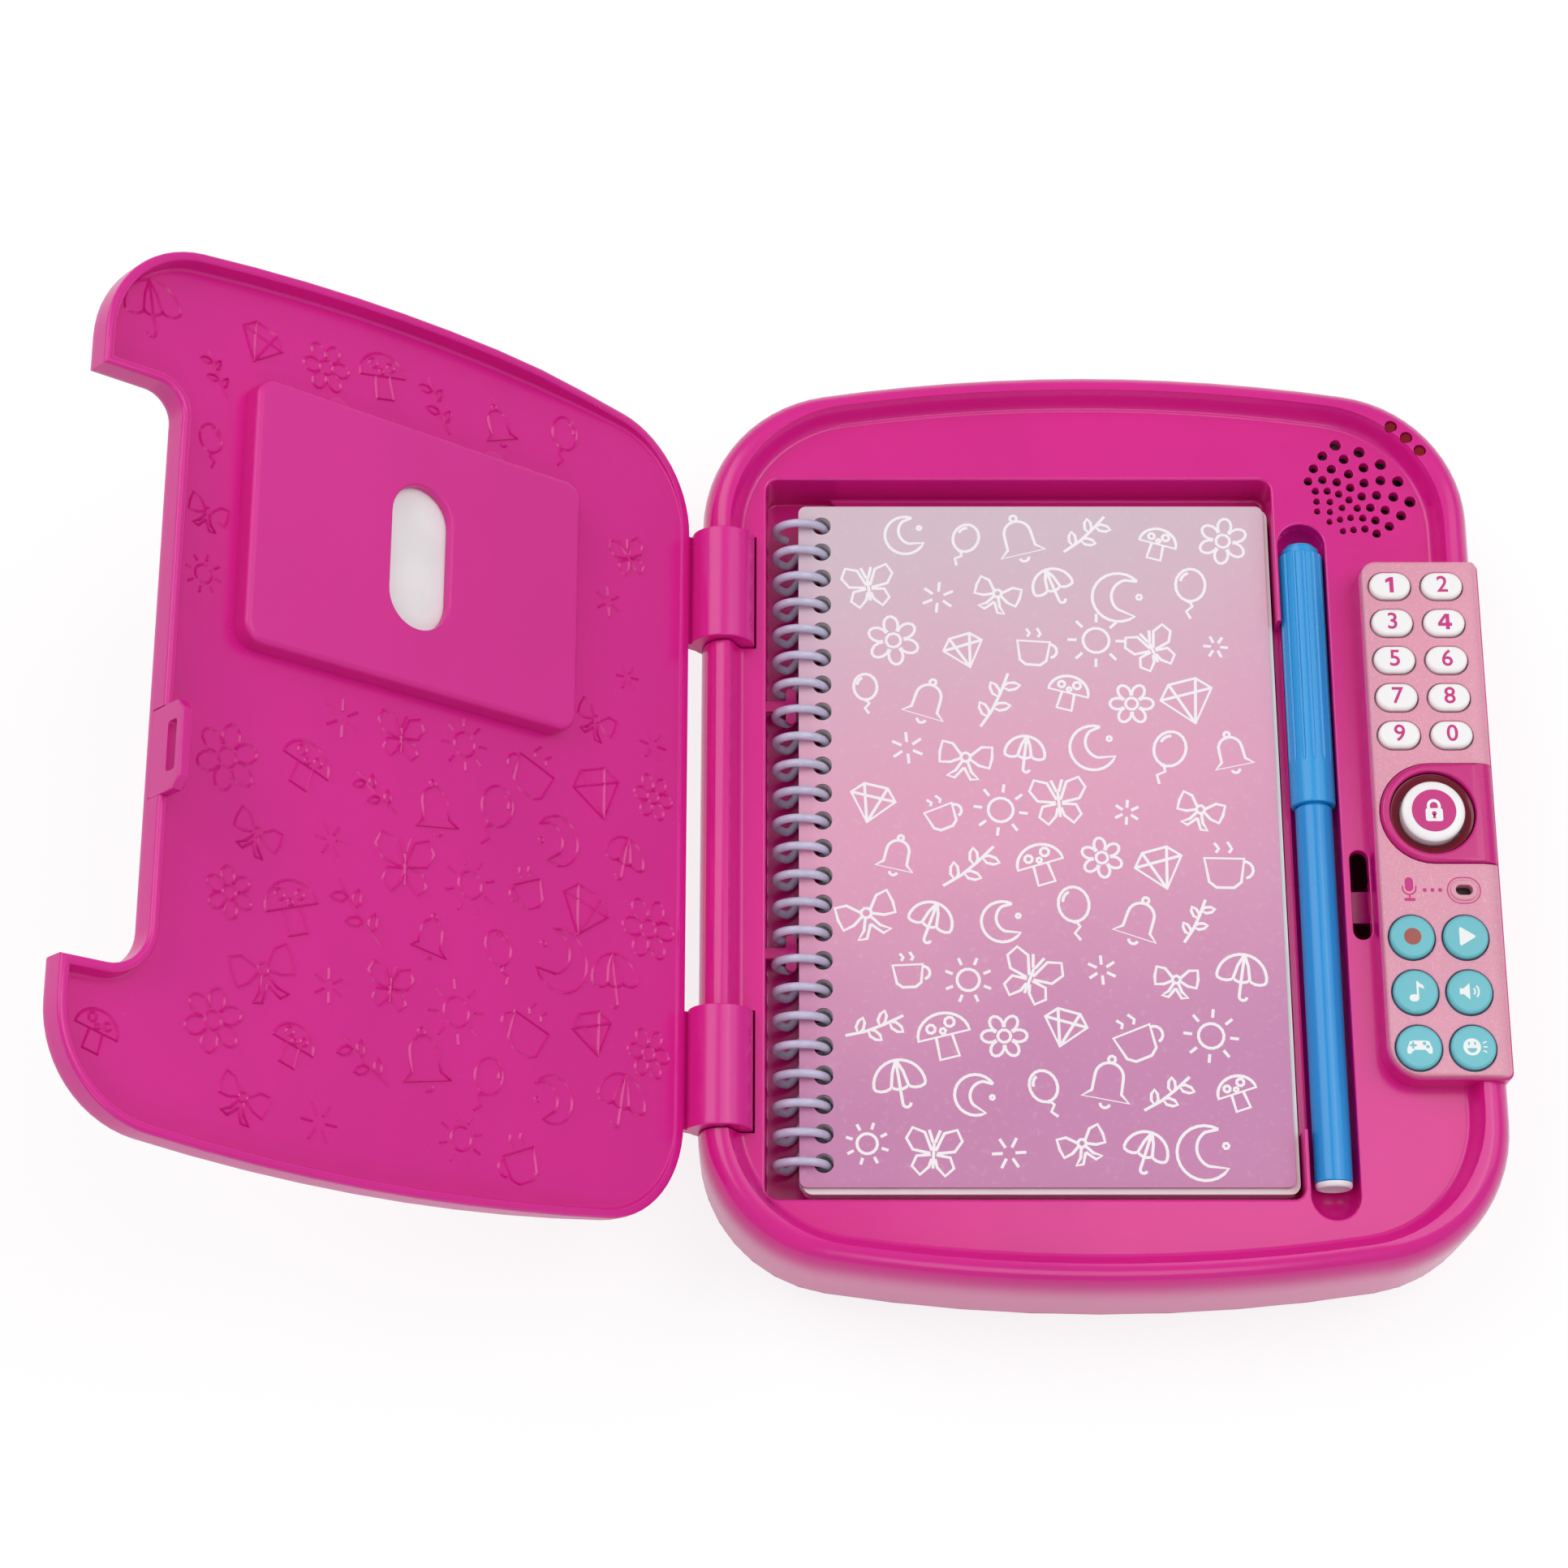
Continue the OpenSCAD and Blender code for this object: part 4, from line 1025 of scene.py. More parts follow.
        # the low stretch of the wall between the tray and the pen's groove
        Bench.cut(shell, Bench.solid("low", Path.rounded(39.2, -66, 41.0, 43, 0.3), 24, [(0, 6.5)]))
        lamps, r = [], self.light_r
        for x, y in self.lights:
            hole = Path.circle(x, y, r + self.light_room)
            Bench.cut(shell, Bench.solid("light", hole, 26, [(0, 12)]))
            lamps.append(Bench.solid("lamp", Path.circle(x, y, r), 31, [(0, 3.15)] + over(0.25, 3)))
        lamps = Bench.join("status_lights", lamps)
        settle(lamps, Finish.LED, "base", "status_leds")
        Bench.merge(shell, *self.hooks())
        Bench.cut(shell, self.grille_holes())
        step = Bench.solid(
            "slot_step", Path.rounded(49.15, -21.4, 57.8, -14.5, 0.2), 21.5,
            [(0, 1.9)] + over(0.2, 2),
        )
        settle(shell, Finish.CASE, "base", "base_top_shell")
        return [shell, settle(step, Finish.CASE, "base"), lamps]


# The lid


@dataclass
class Lid:
    """The lid with its border wall, knuckles, latch loop and picture pocket."""

    middle: Point = (0.85, -2.05)
    hx: float = 71.05
    hy: float = 88.35
    corner: float = 22.0
    bow: float = 430.0
    rim_z: float = 30.25
    face_z: float = 34.35
    top_z: float = 37.05
    full_wall_x: float = -24.0
    fade_share: float = 0.94
    notch: Place = (54.85, -58.2, 54.2)
    notch_r: Point = (8.0, 5.4)
    hinge: Point = HINGE
    knuckles: Point = KNUCKLES
    knuckle_r: float = 6.6
    knuckle_l: float = 24.6
    opened: float = OPENED
    loop: Point = (54.85, LOOP_Y)
    pocket: Box = (-38.35, 8.3, 39.15, 62.2)
    window: Box = (0.65, 35.25, 14.0, 30.0)

    def outline(self) -> Path:
        """Draws the lid's outline with the notch for the keypad."""
        path = Path.bowed(*self.middle, self.hx, self.hy, self.corner, self.bow)
        right = self.middle[0] + self.hx
        edge, low, high = self.notch
        near, far = self.notch_r
        notch = Path(path.start).line(right, low).line(edge + near, low)
        notch.arc(edge + near, low + near, -90).line(edge, high - far)
        notch.arc(edge + far, high - far, -90).line(right, high)
        return Path(path.start, notch.moves + path.moves)

    def shell(self) -> Object:
        """Builds the plate with its rounded back and its border wall."""
        mid, round_back, round_rim = 34.0, 1.9, 0.75
        back = [(0, self.top_z - round_back - mid)] + over(round_back, 5)
        wall = [(0, self.rim_z + round_rim - mid)] + down(over(round_rim, 4)) + [(0.55, 0.0)]
        wall += down(lip(0.6, 3)) + [(0.1, self.face_z - self.rim_z - 1.3)] + over(0.7, 3)
        return self.fade(Bench.solid("lid_shell", self.outline(), mid, back, wall))

    def fade(self, shell: Object) -> Object:
        """Lets the border wall run out into the face towards the hinge."""
        full = self.full_wall_x
        spot = Matrix.Translation(Vector((full, 0, self.face_z)) * MM)
        Bench.place(shell, spot.inverted())
        Bench.edit(shell)
        bpy.ops.object.mode_set(mode="OBJECT")
        for v in shell.data.vertices:
            v.select = v.co.z < -1e-5
        bpy.ops.object.mode_set(mode="EDIT")
        bpy.ops.mesh.select_mode(type="VERT")
        bpy.ops.object.vertex_group_assign_new()
        bpy.ops.object.mode_set(mode="OBJECT")
        step = shell.modifiers.new("fade", "SIMPLE_DEFORM")
        step.deform_method, step.deform_axis = "TAPER", "X"
        step.lock_y = True
        step.factor = self.fade_share
        left = self.middle[0] - self.hx
        step.limits = (0.0, (full - left) / (2 * self.hx))
        step.vertex_group = shell.vertex_groups[0].name
        bpy.ops.object.modifier_apply(modifier=step.name)
        shell.vertex_groups.clear()
        return Bench.place(shell, spot)

    def arms(self) -> list[Object]:
        """Builds the knuckles and the webs that join them to the plate."""
        made = []
        for y in self.knuckles:
            y0, y1 = y - self.knuckle_l / 2, y + self.knuckle_l / 2
            made.append(Bench.rod("knuckle", (self.hinge[0], y0, self.hinge[1]),
                                  self.knuckle_r, self.knuckle_l, 0.3))
            made.append(Bench.solid(
                "web", Path.rounded(self.hinge[0], y0 + 0.15, -64.0, y1 - 0.15, 0.4), 34.55,
                [(0, 2.1)] + over(0.39, 3),
            ))
        return made

    def swing(self, obj: Object) -> Object:
        """Turns a piece from the closed lid's place to the open one."""
        spot = Matrix.Translation(Vector((self.hinge[0], 0, self.hinge[1])) * MM)
        turn = Matrix.Rotation(math.radians(-self.opened), 4, "Y")
        return Bench.place(obj, spot @ turn @ spot.inverted())

    def latch_loop(self) -> Object:
        """Builds the tab with an eye for the bolt, standing on the border wall."""
        side = Path.about(
            0, 0, (-10.35, -6.5), (-8.35, -8.5), (0.35, -8.5), (0.35, 8.5), (-8.35, 8.5),
            (-10.35, 6.5),
        )
        tab = Bench.solid("tab", side, 0.35, [(0, 1.5)] + over(0.34, 3), down(over(0.34, 3)))
        eye = Bench.solid("eye", Path.rounded(-8.55, -4.85, -5.55, 4.85, 0.7), -1, [(0, 4)])
        Bench.cut(tab, eye)
        turn = Matrix.Rotation(math.radians(-90), 4, "Y")
        spot = Matrix.Translation(Vector((*self.loop, self.face_z)) * MM)
        return Bench.place(tab, spot @ turn)

    def picture_pocket(self) -> Object:
        """Builds the pocket: a flat box, open at its far end, with an oval window."""
        x0, y0, x1, y1 = self.pocket
        low = self.face_z - 4.5
        soft = 1.3
        rings = [(0, -(self.face_z - 0.02 - low - soft))] + down(over(soft, 6))
        block = Bench.solid("pocket", Path.rounded(x0, y0, x1, y1, 4), self.face_z - 0.02, rings)
        wx, wy, ww, wl = self.window
        e = 0.5
        hole = Bench.solid(
            "hole", Path.stadium(wx, wy, ww + 2 * e, wl + 2 * e), low - 1,
            [(0, 1.0)] + down(lip(e, 4)) + [(0, 2.9)],
        )
        slit = Bench.solid("slit", Path.rounded(x0 + 3, y0 + 2, x1 - 3, y1 + 1, 0.6), 31.95,
                           [(0, 1.2)])
        return Bench.cut(block, slit, hole)

    def thumb_bumps(self) -> list[Object]:
        """Builds the two half-moon ridges at the pocket's mouth."""
        x0, _, x1, far = self.pocket
        r, y = 3.2, far - 0.4
        rings = [(0, -0.6)] + down(over(0.6, 4))
        return [
            Bench.solid("moon", Path((x - r, y)).line(x + r, y).arc(x, y, 180),
                        self.face_z + 0.05, rings)
            for x in (x0 + 20, x1 - 20)
        ]

    def build(self) -> list[Object]:
        """Builds the lid's pieces, each in place of its CAD node."""
        shell = self.shell()
        # the latch loop's seat in the border wall
        seat = Path.rounded(52.60, LOOP_Y - 8.55, 56.5, LOOP_Y + 8.55, 0.3)
        Bench.cut(shell, Bench.solid("seat", seat, 29.2, [(0, 5.12)]))
        Bench.merge(shell, *self.arms())
        Bench.cut(shell, Bench.rod("bore", (self.hinge[0], -85, self.hinge[1]), 1.6, 160))
        Bench.clean(shell)
        loop, pocket = self.latch_loop(), self.picture_pocket()
        pocket = Bench.join("picture_pocket", [pocket, *self.thumb_bumps()])
        made = []
        for piece, finish, node, name in (
            (shell, Finish.LID, "lid_cover", "lid_shell"),
            (loop, Finish.LID, "lid_latch_loop", "latch_loop"),
            (pocket, Finish.POCKET, "card_pocket", "picture_pocket"),
        ):
            piece.name = name
            made.append(settle(self.swing(piece), finish, "lid", node))
        return made


# The keypad


@dataclass
class Keypad:
    """The cover plate, the number keys, the function buttons and the lock."""

    pad: Box = PAD
    plate_z: Point = (36.0, 38.0)
    key_x: Point = (62.025, 72.775)
    key_y: float = 47.3
    key_step: float = 8.22
    key_size: Point = (8.5, 5.8)
    key_top: float = 39.0
    round_y: Place = (-28.68, -40.08, -51.48)
    round_r: float = 4.5
    round_top: float = 38.9
    lock: Point = (67.8, -2.38)
    surround_r: float = 10.6
    surround_top: float = 38.9
    well_r: float = 8.75
    button_r: float = 6.45
    button_top: float = 39.8
    mic: Point = (73.1, -18.78)
    gap: float = 0.3
    foot_z: float = 33.9

    def key_at(self, n: int) -> Point:
        """Gives the place of a number key: two columns, 1 at the far left, 0 at the end."""
        i = 9 if n == 0 else n - 1
        return self.key_x[i % 2], self.key_y - (i // 2) * self.key_step

    def plate(self) -> Object:
        """Builds the cover plate with an opening for each key, button and the lock."""
        x0, y0, x1, y1 = self.pad
        i, (z0, z1) = 0.4, self.plate_z
        plate = Bench.solid(
            "keypad_plate",
            Path.rounded(x0 + i, y0 + i, x1 - i, y1 - i, (6.6, 1.5, 1.5, 3.1)), z0,
            [(0, z1 - z0 - 0.8)] + over(0.8, 5),
        )
        Bench.cut(plate, self.shoulder(76.6, z1, 1.95))
        soft = 0.2
        room = 2 * (self.gap + soft)
        w, length = self.key_size
        for spot in map(self.key_at, range(10)):
            Bench.cut(plate, self.mouth(Path.stadium(*spot, w + room, length + room), soft))
        for y in self.round_y:
            for x in self.key_x:
                Bench.cut(plate, self.mouth(Path.circle(x, y, self.round_r + room / 2), soft))
        Bench.merge(plate, Bench.solid("brow", Path.stadium(*self.mic, 5.6, 4.4), z1 - 0.3,
                                       [(0, 0.35)] + over(0.4, 4)))
        around = self.surround_outline(self.surround_r + 0.2, 4)
        return Bench.cut(plate, self.mouth(Path.stadium(*self.mic, 3.5, 2.2), 0.0),
                         Bench.solid("lock", around, 35, [(0, 5)]))

    def mouth(self, path: Path, e: float) -> Object:
        """Builds a cutter for an opening in the plate, with a soft edge of e mm."""
        rings = [(0, -1.0)] + (lip(e, 3) if e else []) + [(0, -3.5)]
        return Bench.solid("mouth", path, self.plate_z[1] + 1, rings)

    def shoulder(self, x0: float, top: float, drop: float) -> Object:
        """Builds a cutter that rounds the right-hand edge down from x0 by drop mm."""
        edge = self.pad[2] - 0.35
        bend = [(x0 + (edge - x0) * math.sin(t), top - drop + (drop + 0.01) * math.cos(t))
                for t in (i * math.pi / 16 for i in range(9))]
        path = Path.about(0, 0, *bend, (edge + 3, bend[-1][1]), (edge + 3, top + 3), (x0, top + 3))
        tool = Bench.solid("shoulder", path, -70, [(0, 140)])
        return Bench.place(tool, Matrix.Rotation(math.pi / 2, 4, "X"))

    def surround_outline(self, r: float, past: float = 0.0) -> Path:
        """Draws a half-round shape that runs to the case's right-hand edge, or past mm further."""
        x, y = self.lock
        edge = self.pad[2] - 0.4 + past
        soft = 0.001 if past else 0.8
        path = Path((x, y - r)).line(edge - soft, y - r)
        if past:
            path.line(edge - soft, y + r)
        else:
            path.arc(edge - soft, y - r + soft, 90)
            path.line(edge, y + r - soft).arc(edge - soft, y + r - soft, 90)
        return path.line(x, y + r).arc(x, y, 180)

    def surround(self) -> Object:
        """Builds the raised surround with its round well."""
        block = Bench.solid(
            "lock_collar", self.surround_outline(self.surround_r), 36.0,
            [(0, self.surround_top - 36.0 - 0.9)] + over(0.9, 5),
        )
        skirt = Bench.solid("skirt", Path.circle(*self.lock, 11.4), 34.95, [(0, 1.04)])
        Bench.merge(block, skirt)
        e = 0.5
        well = Bench.solid("well", Path.circle(*self.lock, self.well_r + e),
                           self.surround_top + 1, [(0, -1)] + lip(e, 4) + [(0, -5)])
        return Bench.cut(block, well, self.shoulder(75.9, self.surround_top, 2.8))

    def light_ring(self) -> Object:
        """Turns the dark red ring that lies in the well like a shallow dish."""
        return Bench.lathe(
            "light_ring",
            [(6.75, 35.2), (8.55, 35.2), (8.58, 37.55), (8.45, 37.7), (8.1, 37.62), (7.5, 37.2),
             (7.0, 36.95), (6.8, 36.9), (6.75, 36.8), (6.75, 35.2)],
            (*self.lock, 0), steps=72,
        )

    def lock_button(self) -> Object:
        """Turns the white button with its domed top."""
        r, top = self.button_r, self.button_top
        rim = [(r - 1.1 + 1.1 * math.cos(a), top - 0.9 + 0.75 * math.sin(a))
               for a in (i * math.pi / 12 for i in range(6))]
        return Bench.lathe(
            "unlock_cap",
            [(0, self.foot_z), (7.6, self.foot_z), (7.6, 34.4), (r, 34.4), *rim,
             (r - 1.5, top - 0.08), (r - 2.6, top), (0, top)],
            (*self.lock, 0), steps=72,
        )

    def number_key(self) -> Object:
        """Builds one number key, centred on its own axis, with a pillowed top."""
        w, length = self.key_size
        key = Bench.solid(
            "key", Path.stadium(0, 0, w, length), 35.0,
            [(0, self.key_top - 35.0 - 0.75)] + over(0.8, 6, 0.75),
        )
        flange = Bench.solid("flange", Path.stadium(0, 0, w + 1.4, length + 1.4), 34.5,
                             [(0, 1.2)])
        return Bench.merge(key, flange)

    def round_button(self) -> Object:
        """Turns one function button, with a shallow dished top."""
        r, top = self.round_r, self.round_top
        rim = [(r - 0.7 + 0.7 * math.cos(a), top - 0.7 + 0.7 * math.sin(a))
               for a in (i * math.pi / 12 for i in range(7))]
        return Bench.lathe(
            "button",
            [(0, self.foot_z), (2, self.foot_z), (2, 34.5), (r + 0.4, 34.5), (r + 0.4, 35.7),
             (r, 35.7), *rim, (0, top)],
            (0, 0, 0),
        )

    def microphone_pit(self) -> Object:
        """Builds the dark bottom of the microphone's hole."""
        return Bench.solid("microphone_pit", Path.stadium(*self.mic, 4.2, 3.2), 35.2, [(0, 0.7)])

    def build(self) -> list[Object]:
        """Builds the keypad's pieces and dresses them."""
        made = [
            settle(self.plate(), Finish.BEZEL, "base", "keypad_bezel"),
            settle(self.microphone_pit(), Finish.DARK, "base", "microphone"),
            settle(self.surround(), Finish.SURROUND, "base", "lock_surround"),
            settle(self.light_ring(), Finish.RING, "base", "lock_light_ring"),
            settle(self.lock_button(), Finish.KEY, "unlock_button",
                   "unlock_button"),
            *Print(*self.lock, self.button_top).badge(),
        ]
        spots = [self.key_at(n) for n in range(10)]
        for n, key in enumerate(Bench.row(self.number_key(), spots)):
            key.name = f"number_{n}"
            made.append(settle(key, Finish.KEY, f"key_{n}", f"key_{n}"))
            made.append(Print(*spots[n], self.key_top).digit(n))
        spots = [(x, y) for y in self.round_y for x in self.key_x]
        for cap, sign, spot in zip(Bench.row(self.round_button(), spots), Sign, spots):
            node = f"{sign.value}_button"
            cap.name = f"{sign.value}_cap"
            made.append(settle(cap, Finish.BUTTON, node, node))
            made.append(Print(*spot, self.round_top).sign(sign))
        made += Print(62.1, self.mic[1] - 0.02, self.plate_z[1]).microphone(*self.mic)
        return made


# Printed and embossed marks


def ring(cx: float, cy: float, r: float, a0: float = 0, a1: float = 360, n: int = 14,
         ry: float | None = None) -> Stroke:
    """Gives the points of an arc, or of an ellipse's arc where ry is set."""
    ry = r if ry is None else ry
    angles = [math.radians(a0 + (a1 - a0) * i / n) for i in range(n + 1)]
    return [(cx + r * math.cos(a), cy + ry * math.sin(a)) for a in angles]


def turned(stroke: Stroke, degrees: float, x: float = 0, y: float = 0, size: float = 1) -> Stroke:
    """Gives a stroke turned about its origin, made larger and moved to x, y."""
    c, s = math.cos(math.radians(degrees)), math.sin(math.radians(degrees))
    return [(x + size * (u * c - v * s), y + size * (u * s + v * c)) for u, v in stroke]


def rays(near: float, far: float, n: int, first: float) -> list[Stroke]:
    """Gives n straight rays between two distances from the middle."""
    turns = [math.radians(first + 360 * k / n) for k in range(n)]
    return [[(r * math.cos(a), r * math.sin(a)) for r in (near, far)] for a in turns]


def flipped(*strokes: Stroke) -> list[Stroke]:
    """Gives the strokes' mirror images."""
    return [[(-x, y) for x, y in stroke] for stroke in strokes]


PETAL = ring(0.62, 0, 0.36, -140, 140, 9, 0.27)
CRESCENT_IN = ring(0.42, 0.1, 0.68, 236, 116, 12)
CRESCENT_OUT = ring(0, 0, 0.95, 52, 318, 18)
LEAF = [(0, 0), (0.2, 0.14), (0.45, 0.12), (0.62, 0), (0.45, -0.12), (0.2, -0.14), (0, 0)]
LOOP = [(0.18, 0.1), (0.55, 0.5), (0.95, 0.55), (1.0, 0.1), (0.95, -0.3), (0.55, -0.25),
        (0.18, -0.05)]
TAIL = [(0.1, -0.15), (0.3, -0.55), (0.6, -0.8), (0.3, -0.85), (0.0, -0.4)]
UPPER_WING = [(0.07, 0.1), (0.35, 0.75), (0.8, 0.9), (1.0, 0.5), (0.75, 0.1), (0.12, 0.0)]
LOWER_WING = [(0.1, -0.05), (0.6, -0.12), (0.75, -0.5), (0.45, -0.8), (0.15, -0.5), (0.06, -0.2)]
FEELER = [(0.04, 0.4), (0.2, 0.85)]


class Motif(Enum):
    """The line drawings on the notebook's cover and inside the lid, each about 2 units wide."""

    FLOWER = [ring(0, 0, 0.28, n=10), *(turned(PETAL, 60 * k) for k in range(6))]
    MOON = [CRESCENT_OUT + [CRESCENT_IN[0]], [CRESCENT_OUT[0]] + CRESCENT_IN[::-1],
            ring(0.75, 0.15, 0.1, n=6)]
    SUN = [ring(0, 0, 0.46, n=16), *rays(0.68, 1.0, 8, 10)]
    SPRIG = [
        [(-0.9, -0.7), (-0.3, -0.3), (0.25, 0.2), (0.8, 0.8)],
        turned(LEAF, 95, -0.5, -0.45), turned(LEAF, -15, -0.2, -0.2), turned(LEAF, 95, 0.15, 0.1),
        turned(LEAF, -15, 0.42, 0.38),
    ]
    BOW = [ring(0, 0.02, 0.18, n=8), LOOP, TAIL, *flipped(LOOP, TAIL)]
    GEM = [
        [(-0.95, 0.25), (-0.5, 0.75), (0.5, 0.75), (0.95, 0.25), (0, -0.9), (-0.95, 0.25)],
        [(-0.95, 0.25), (0.95, 0.25)], [(-0.5, 0.75), (-0.35, 0.25), (0, -0.9)],
        [(0.5, 0.75), (0.35, 0.25), (0, -0.9)],
    ]
    BALLOON = [
        ring(0, 0.35, 0.55, n=18, ry=0.65), [(-0.1, -0.32), (0.1, -0.32)],
        [(0, -0.3), (0.12, -0.5), (-0.1, -0.72), (0.08, -1.0)],
        ring(-0.05, 0.4, 0.33, 100, 170, 5, 0.42),
    ]
    BUTTERFLY = [[(0, 0.4), (0, -0.55)], UPPER_WING, LOWER_WING, FEELER,
                 *flipped(UPPER_WING, LOWER_WING, FEELER)]
    MUSHROOM = [
        ring(0, 0.05, 0.9, 0, 180, 14, 0.8) + [(0.9, 0.05)],
        [(-0.28, 0.05), (-0.34, -0.75), (0.34, -0.75), (0.28, 0.05)],
        ring(-0.38, 0.38, 0.15, n=8), ring(0.3, 0.48, 0.17, n=8), ring(0.0, 0.22, 0.1, n=6),
    ]
    UMBRELLA = [
        ring(0, 0, 0.95, 0, 180, 14),
        [(-0.95, 0)] + ring(-0.63, 0, 0.32, 180, 360, 5, 0.16)[1:]
        + ring(0, 0, 0.31, 180, 360, 5, 0.16)[1:] + ring(0.63, 0, 0.32, 180, 360, 5, 0.16)[1:],
        [(0, 0.95), (0, -0.7)], ring(0.15, -0.7, 0.15, 180, 360, 6),
        [(-0.31, 0), (-0.2, 0.5), (0, 0.95)], [(0.31, 0), (0.2, 0.5), (0, 0.95)],
    ]
    CUP = [
        [(-0.75, 0.25), (-0.6, -0.6), (-0.35, -0.8), (0.25, -0.8), (0.5, -0.6), (0.62, 0.25),
         (-0.75, 0.25)],
        ring(0.62, -0.15, 0.3, -80, 100, 7), [(-0.35, 0.45), (-0.25, 0.6), (-0.4, 0.8)],
        [(0.1, 0.45), (0.2, 0.6), (0.05, 0.85)],
    ]
    BELL = [
        [(-0.8, -0.5), (-0.5, -0.25), (-0.48, 0.3)] + ring(0, 0.3, 0.48, 180, 0, 10)
        + [(0.5, -0.25), (0.8, -0.5), (-0.8, -0.5)],
        ring(0, -0.62, 0.17, 190, 350, 6), ring(0, 0.9, 0.12, n=8),
    ]
    SPARK = rays(0.35, 0.95, 6, 15)


Spot = tuple[Motif, float, float, float, float]


class Inker:
    """Draws lines through points and gives them width."""

    @staticmethod
    def bend(name: str, lines: list, thickness: float, sides: int) -> Object:
        """Bends round wires along lines.

        Args:
            name: Name of the new object.
            lines: Lines through points in metres; one that ends where it starts is closed.
            thickness: Radius of the wire in mm.
            sides: Extra roundness of the wire.

        Returns:
            One mesh of all wires.
        """
        Bench.none()
        bpy.ops.curve.primitive_nurbs_path_add()
        obj = bpy.context.object
        obj.name = name
        curve = obj.data
        curve.splines.clear()
        for line in lines:
            closed = math.dist(line[0], line[-1]) < 1e-9
            points = line[:-1] if closed else line
            spline = curve.splines.new("POLY")
            spline.points.add(len(points) - 1)
            for spot, point in zip(spline.points, points):
                spot.co = (*point, 1)
            spline.use_cyclic_u = closed
        curve.dimensions = "3D"
        curve.bevel_depth, curve.bevel_resolution = thickness * MM, sides
        curve.use_fill_caps = True
        return Bench.mesh(obj)

    @staticmethod
    def draw(name: str, strokes: list[Stroke], width: float, height: float, z: float) -> Object:
        """Lays flattened lines on a level.

        Args:
            name: Name of the new object.
            strokes: Lines through points, in mm.
            width: Width of the line in mm.
            height: Height of the line in mm.
            z: Level of the middle of the lines.

        Returns:
            One mesh of all lines, in place.
        """
        lines = [[(x * MM, y * MM, 0) for x, y in stroke] for stroke in strokes]
        squeeze = Matrix.Diagonal((1, 1, height / width, 1))
        return Bench.place(Inker.bend(name, lines, width / 2, 0),
                           Matrix.Translation((0, 0, z * MM)) @ squeeze)

    @staticmethod
    def sheet(name: str, spots: list[Spot], width: float, height: float, z: float) -> Object:
        """Draws many motifs at once, each at x, y, with half its width in mm and its turn."""
        strokes = [turned(stroke, degrees, x, y, size)
                   for motif, x, y, size, degrees in spots for stroke in motif.value]
        return Inker.draw(name, strokes, width, height, z)


def scatter(box: tuple[float, ...], step: Point, sizes: Point, keep: list[tuple[float, ...]],
            shift: int) -> list[Spot]:
    """Sets motifs out in staggered rows.

    Args:
        box: Left, near, right and far side of the field in mm.
        step: Spacing across and along.
        sizes: Smallest and largest half width.
        keep: Boxes that stay bare.
        shift: Which motif comes first.

    Returns:
        Motif, x, y, half width and turn of each.
    """
    kinds = list(Motif)
    x0, y0, x1, y1 = box
    spots, row, n = [], 0, shift
    y = y0
    while y <= y1 + 0.01:
        x = x0 + (step[0] / 2 if row % 2 else 0)
        while x <= x1 + 0.01:
            wave = math.sin(n * 2.399)
            size = sizes[0] + (sizes[1] - sizes[0]) * (0.5 + 0.5 * math.sin(n * 1.7))
            px, py = x + 1.4 * math.sin(n * 1.3), y + 1.3 * math.cos(n * 2.1)
            kind = kinds[(n * 5 + row * 3) % len(kinds)]
            if kind is Motif.SPARK:
                size *= 0.62
            far = [px + size + 1 < a or px - size - 1 > c or py + size + 1 < b or py - size - 1 > d
                   for a, b, c, d in keep]
            if all(far) and x0 - 3 < px < x1 + 3:
                spots.append((kind, px, py, size, 22 * wave))
            x += step[0]
            n += 1
        y += step[1]
        row += 1
    return spots


FIGURES = {
    1: ((-0.2, -1.7), (0.65, -1.7), (0.65, 1.75), (-0.05, 1.75), (-1.0, 1.2), (-1.0, 0.45),
        (-0.2, 0.8)),
    4: ((0.2, -1.7), (1.0, -1.7), (1.0, -0.95), (1.5, -0.95), (1.5, -0.25), (1.0, -0.25),
        (1.0, 1.75), (0.05, 1.75), (-1.4, -0.3), (-1.4, -0.95), (0.2, -0.95)),
}


class Sign(Enum):
    """The function buttons, in the order of their places."""

    RECORD = "record"
    PLAY = "play"
    MUSIC = "music"
    VOLUME = "volume"
    GAMES = "games"
    MOOD = "mood"


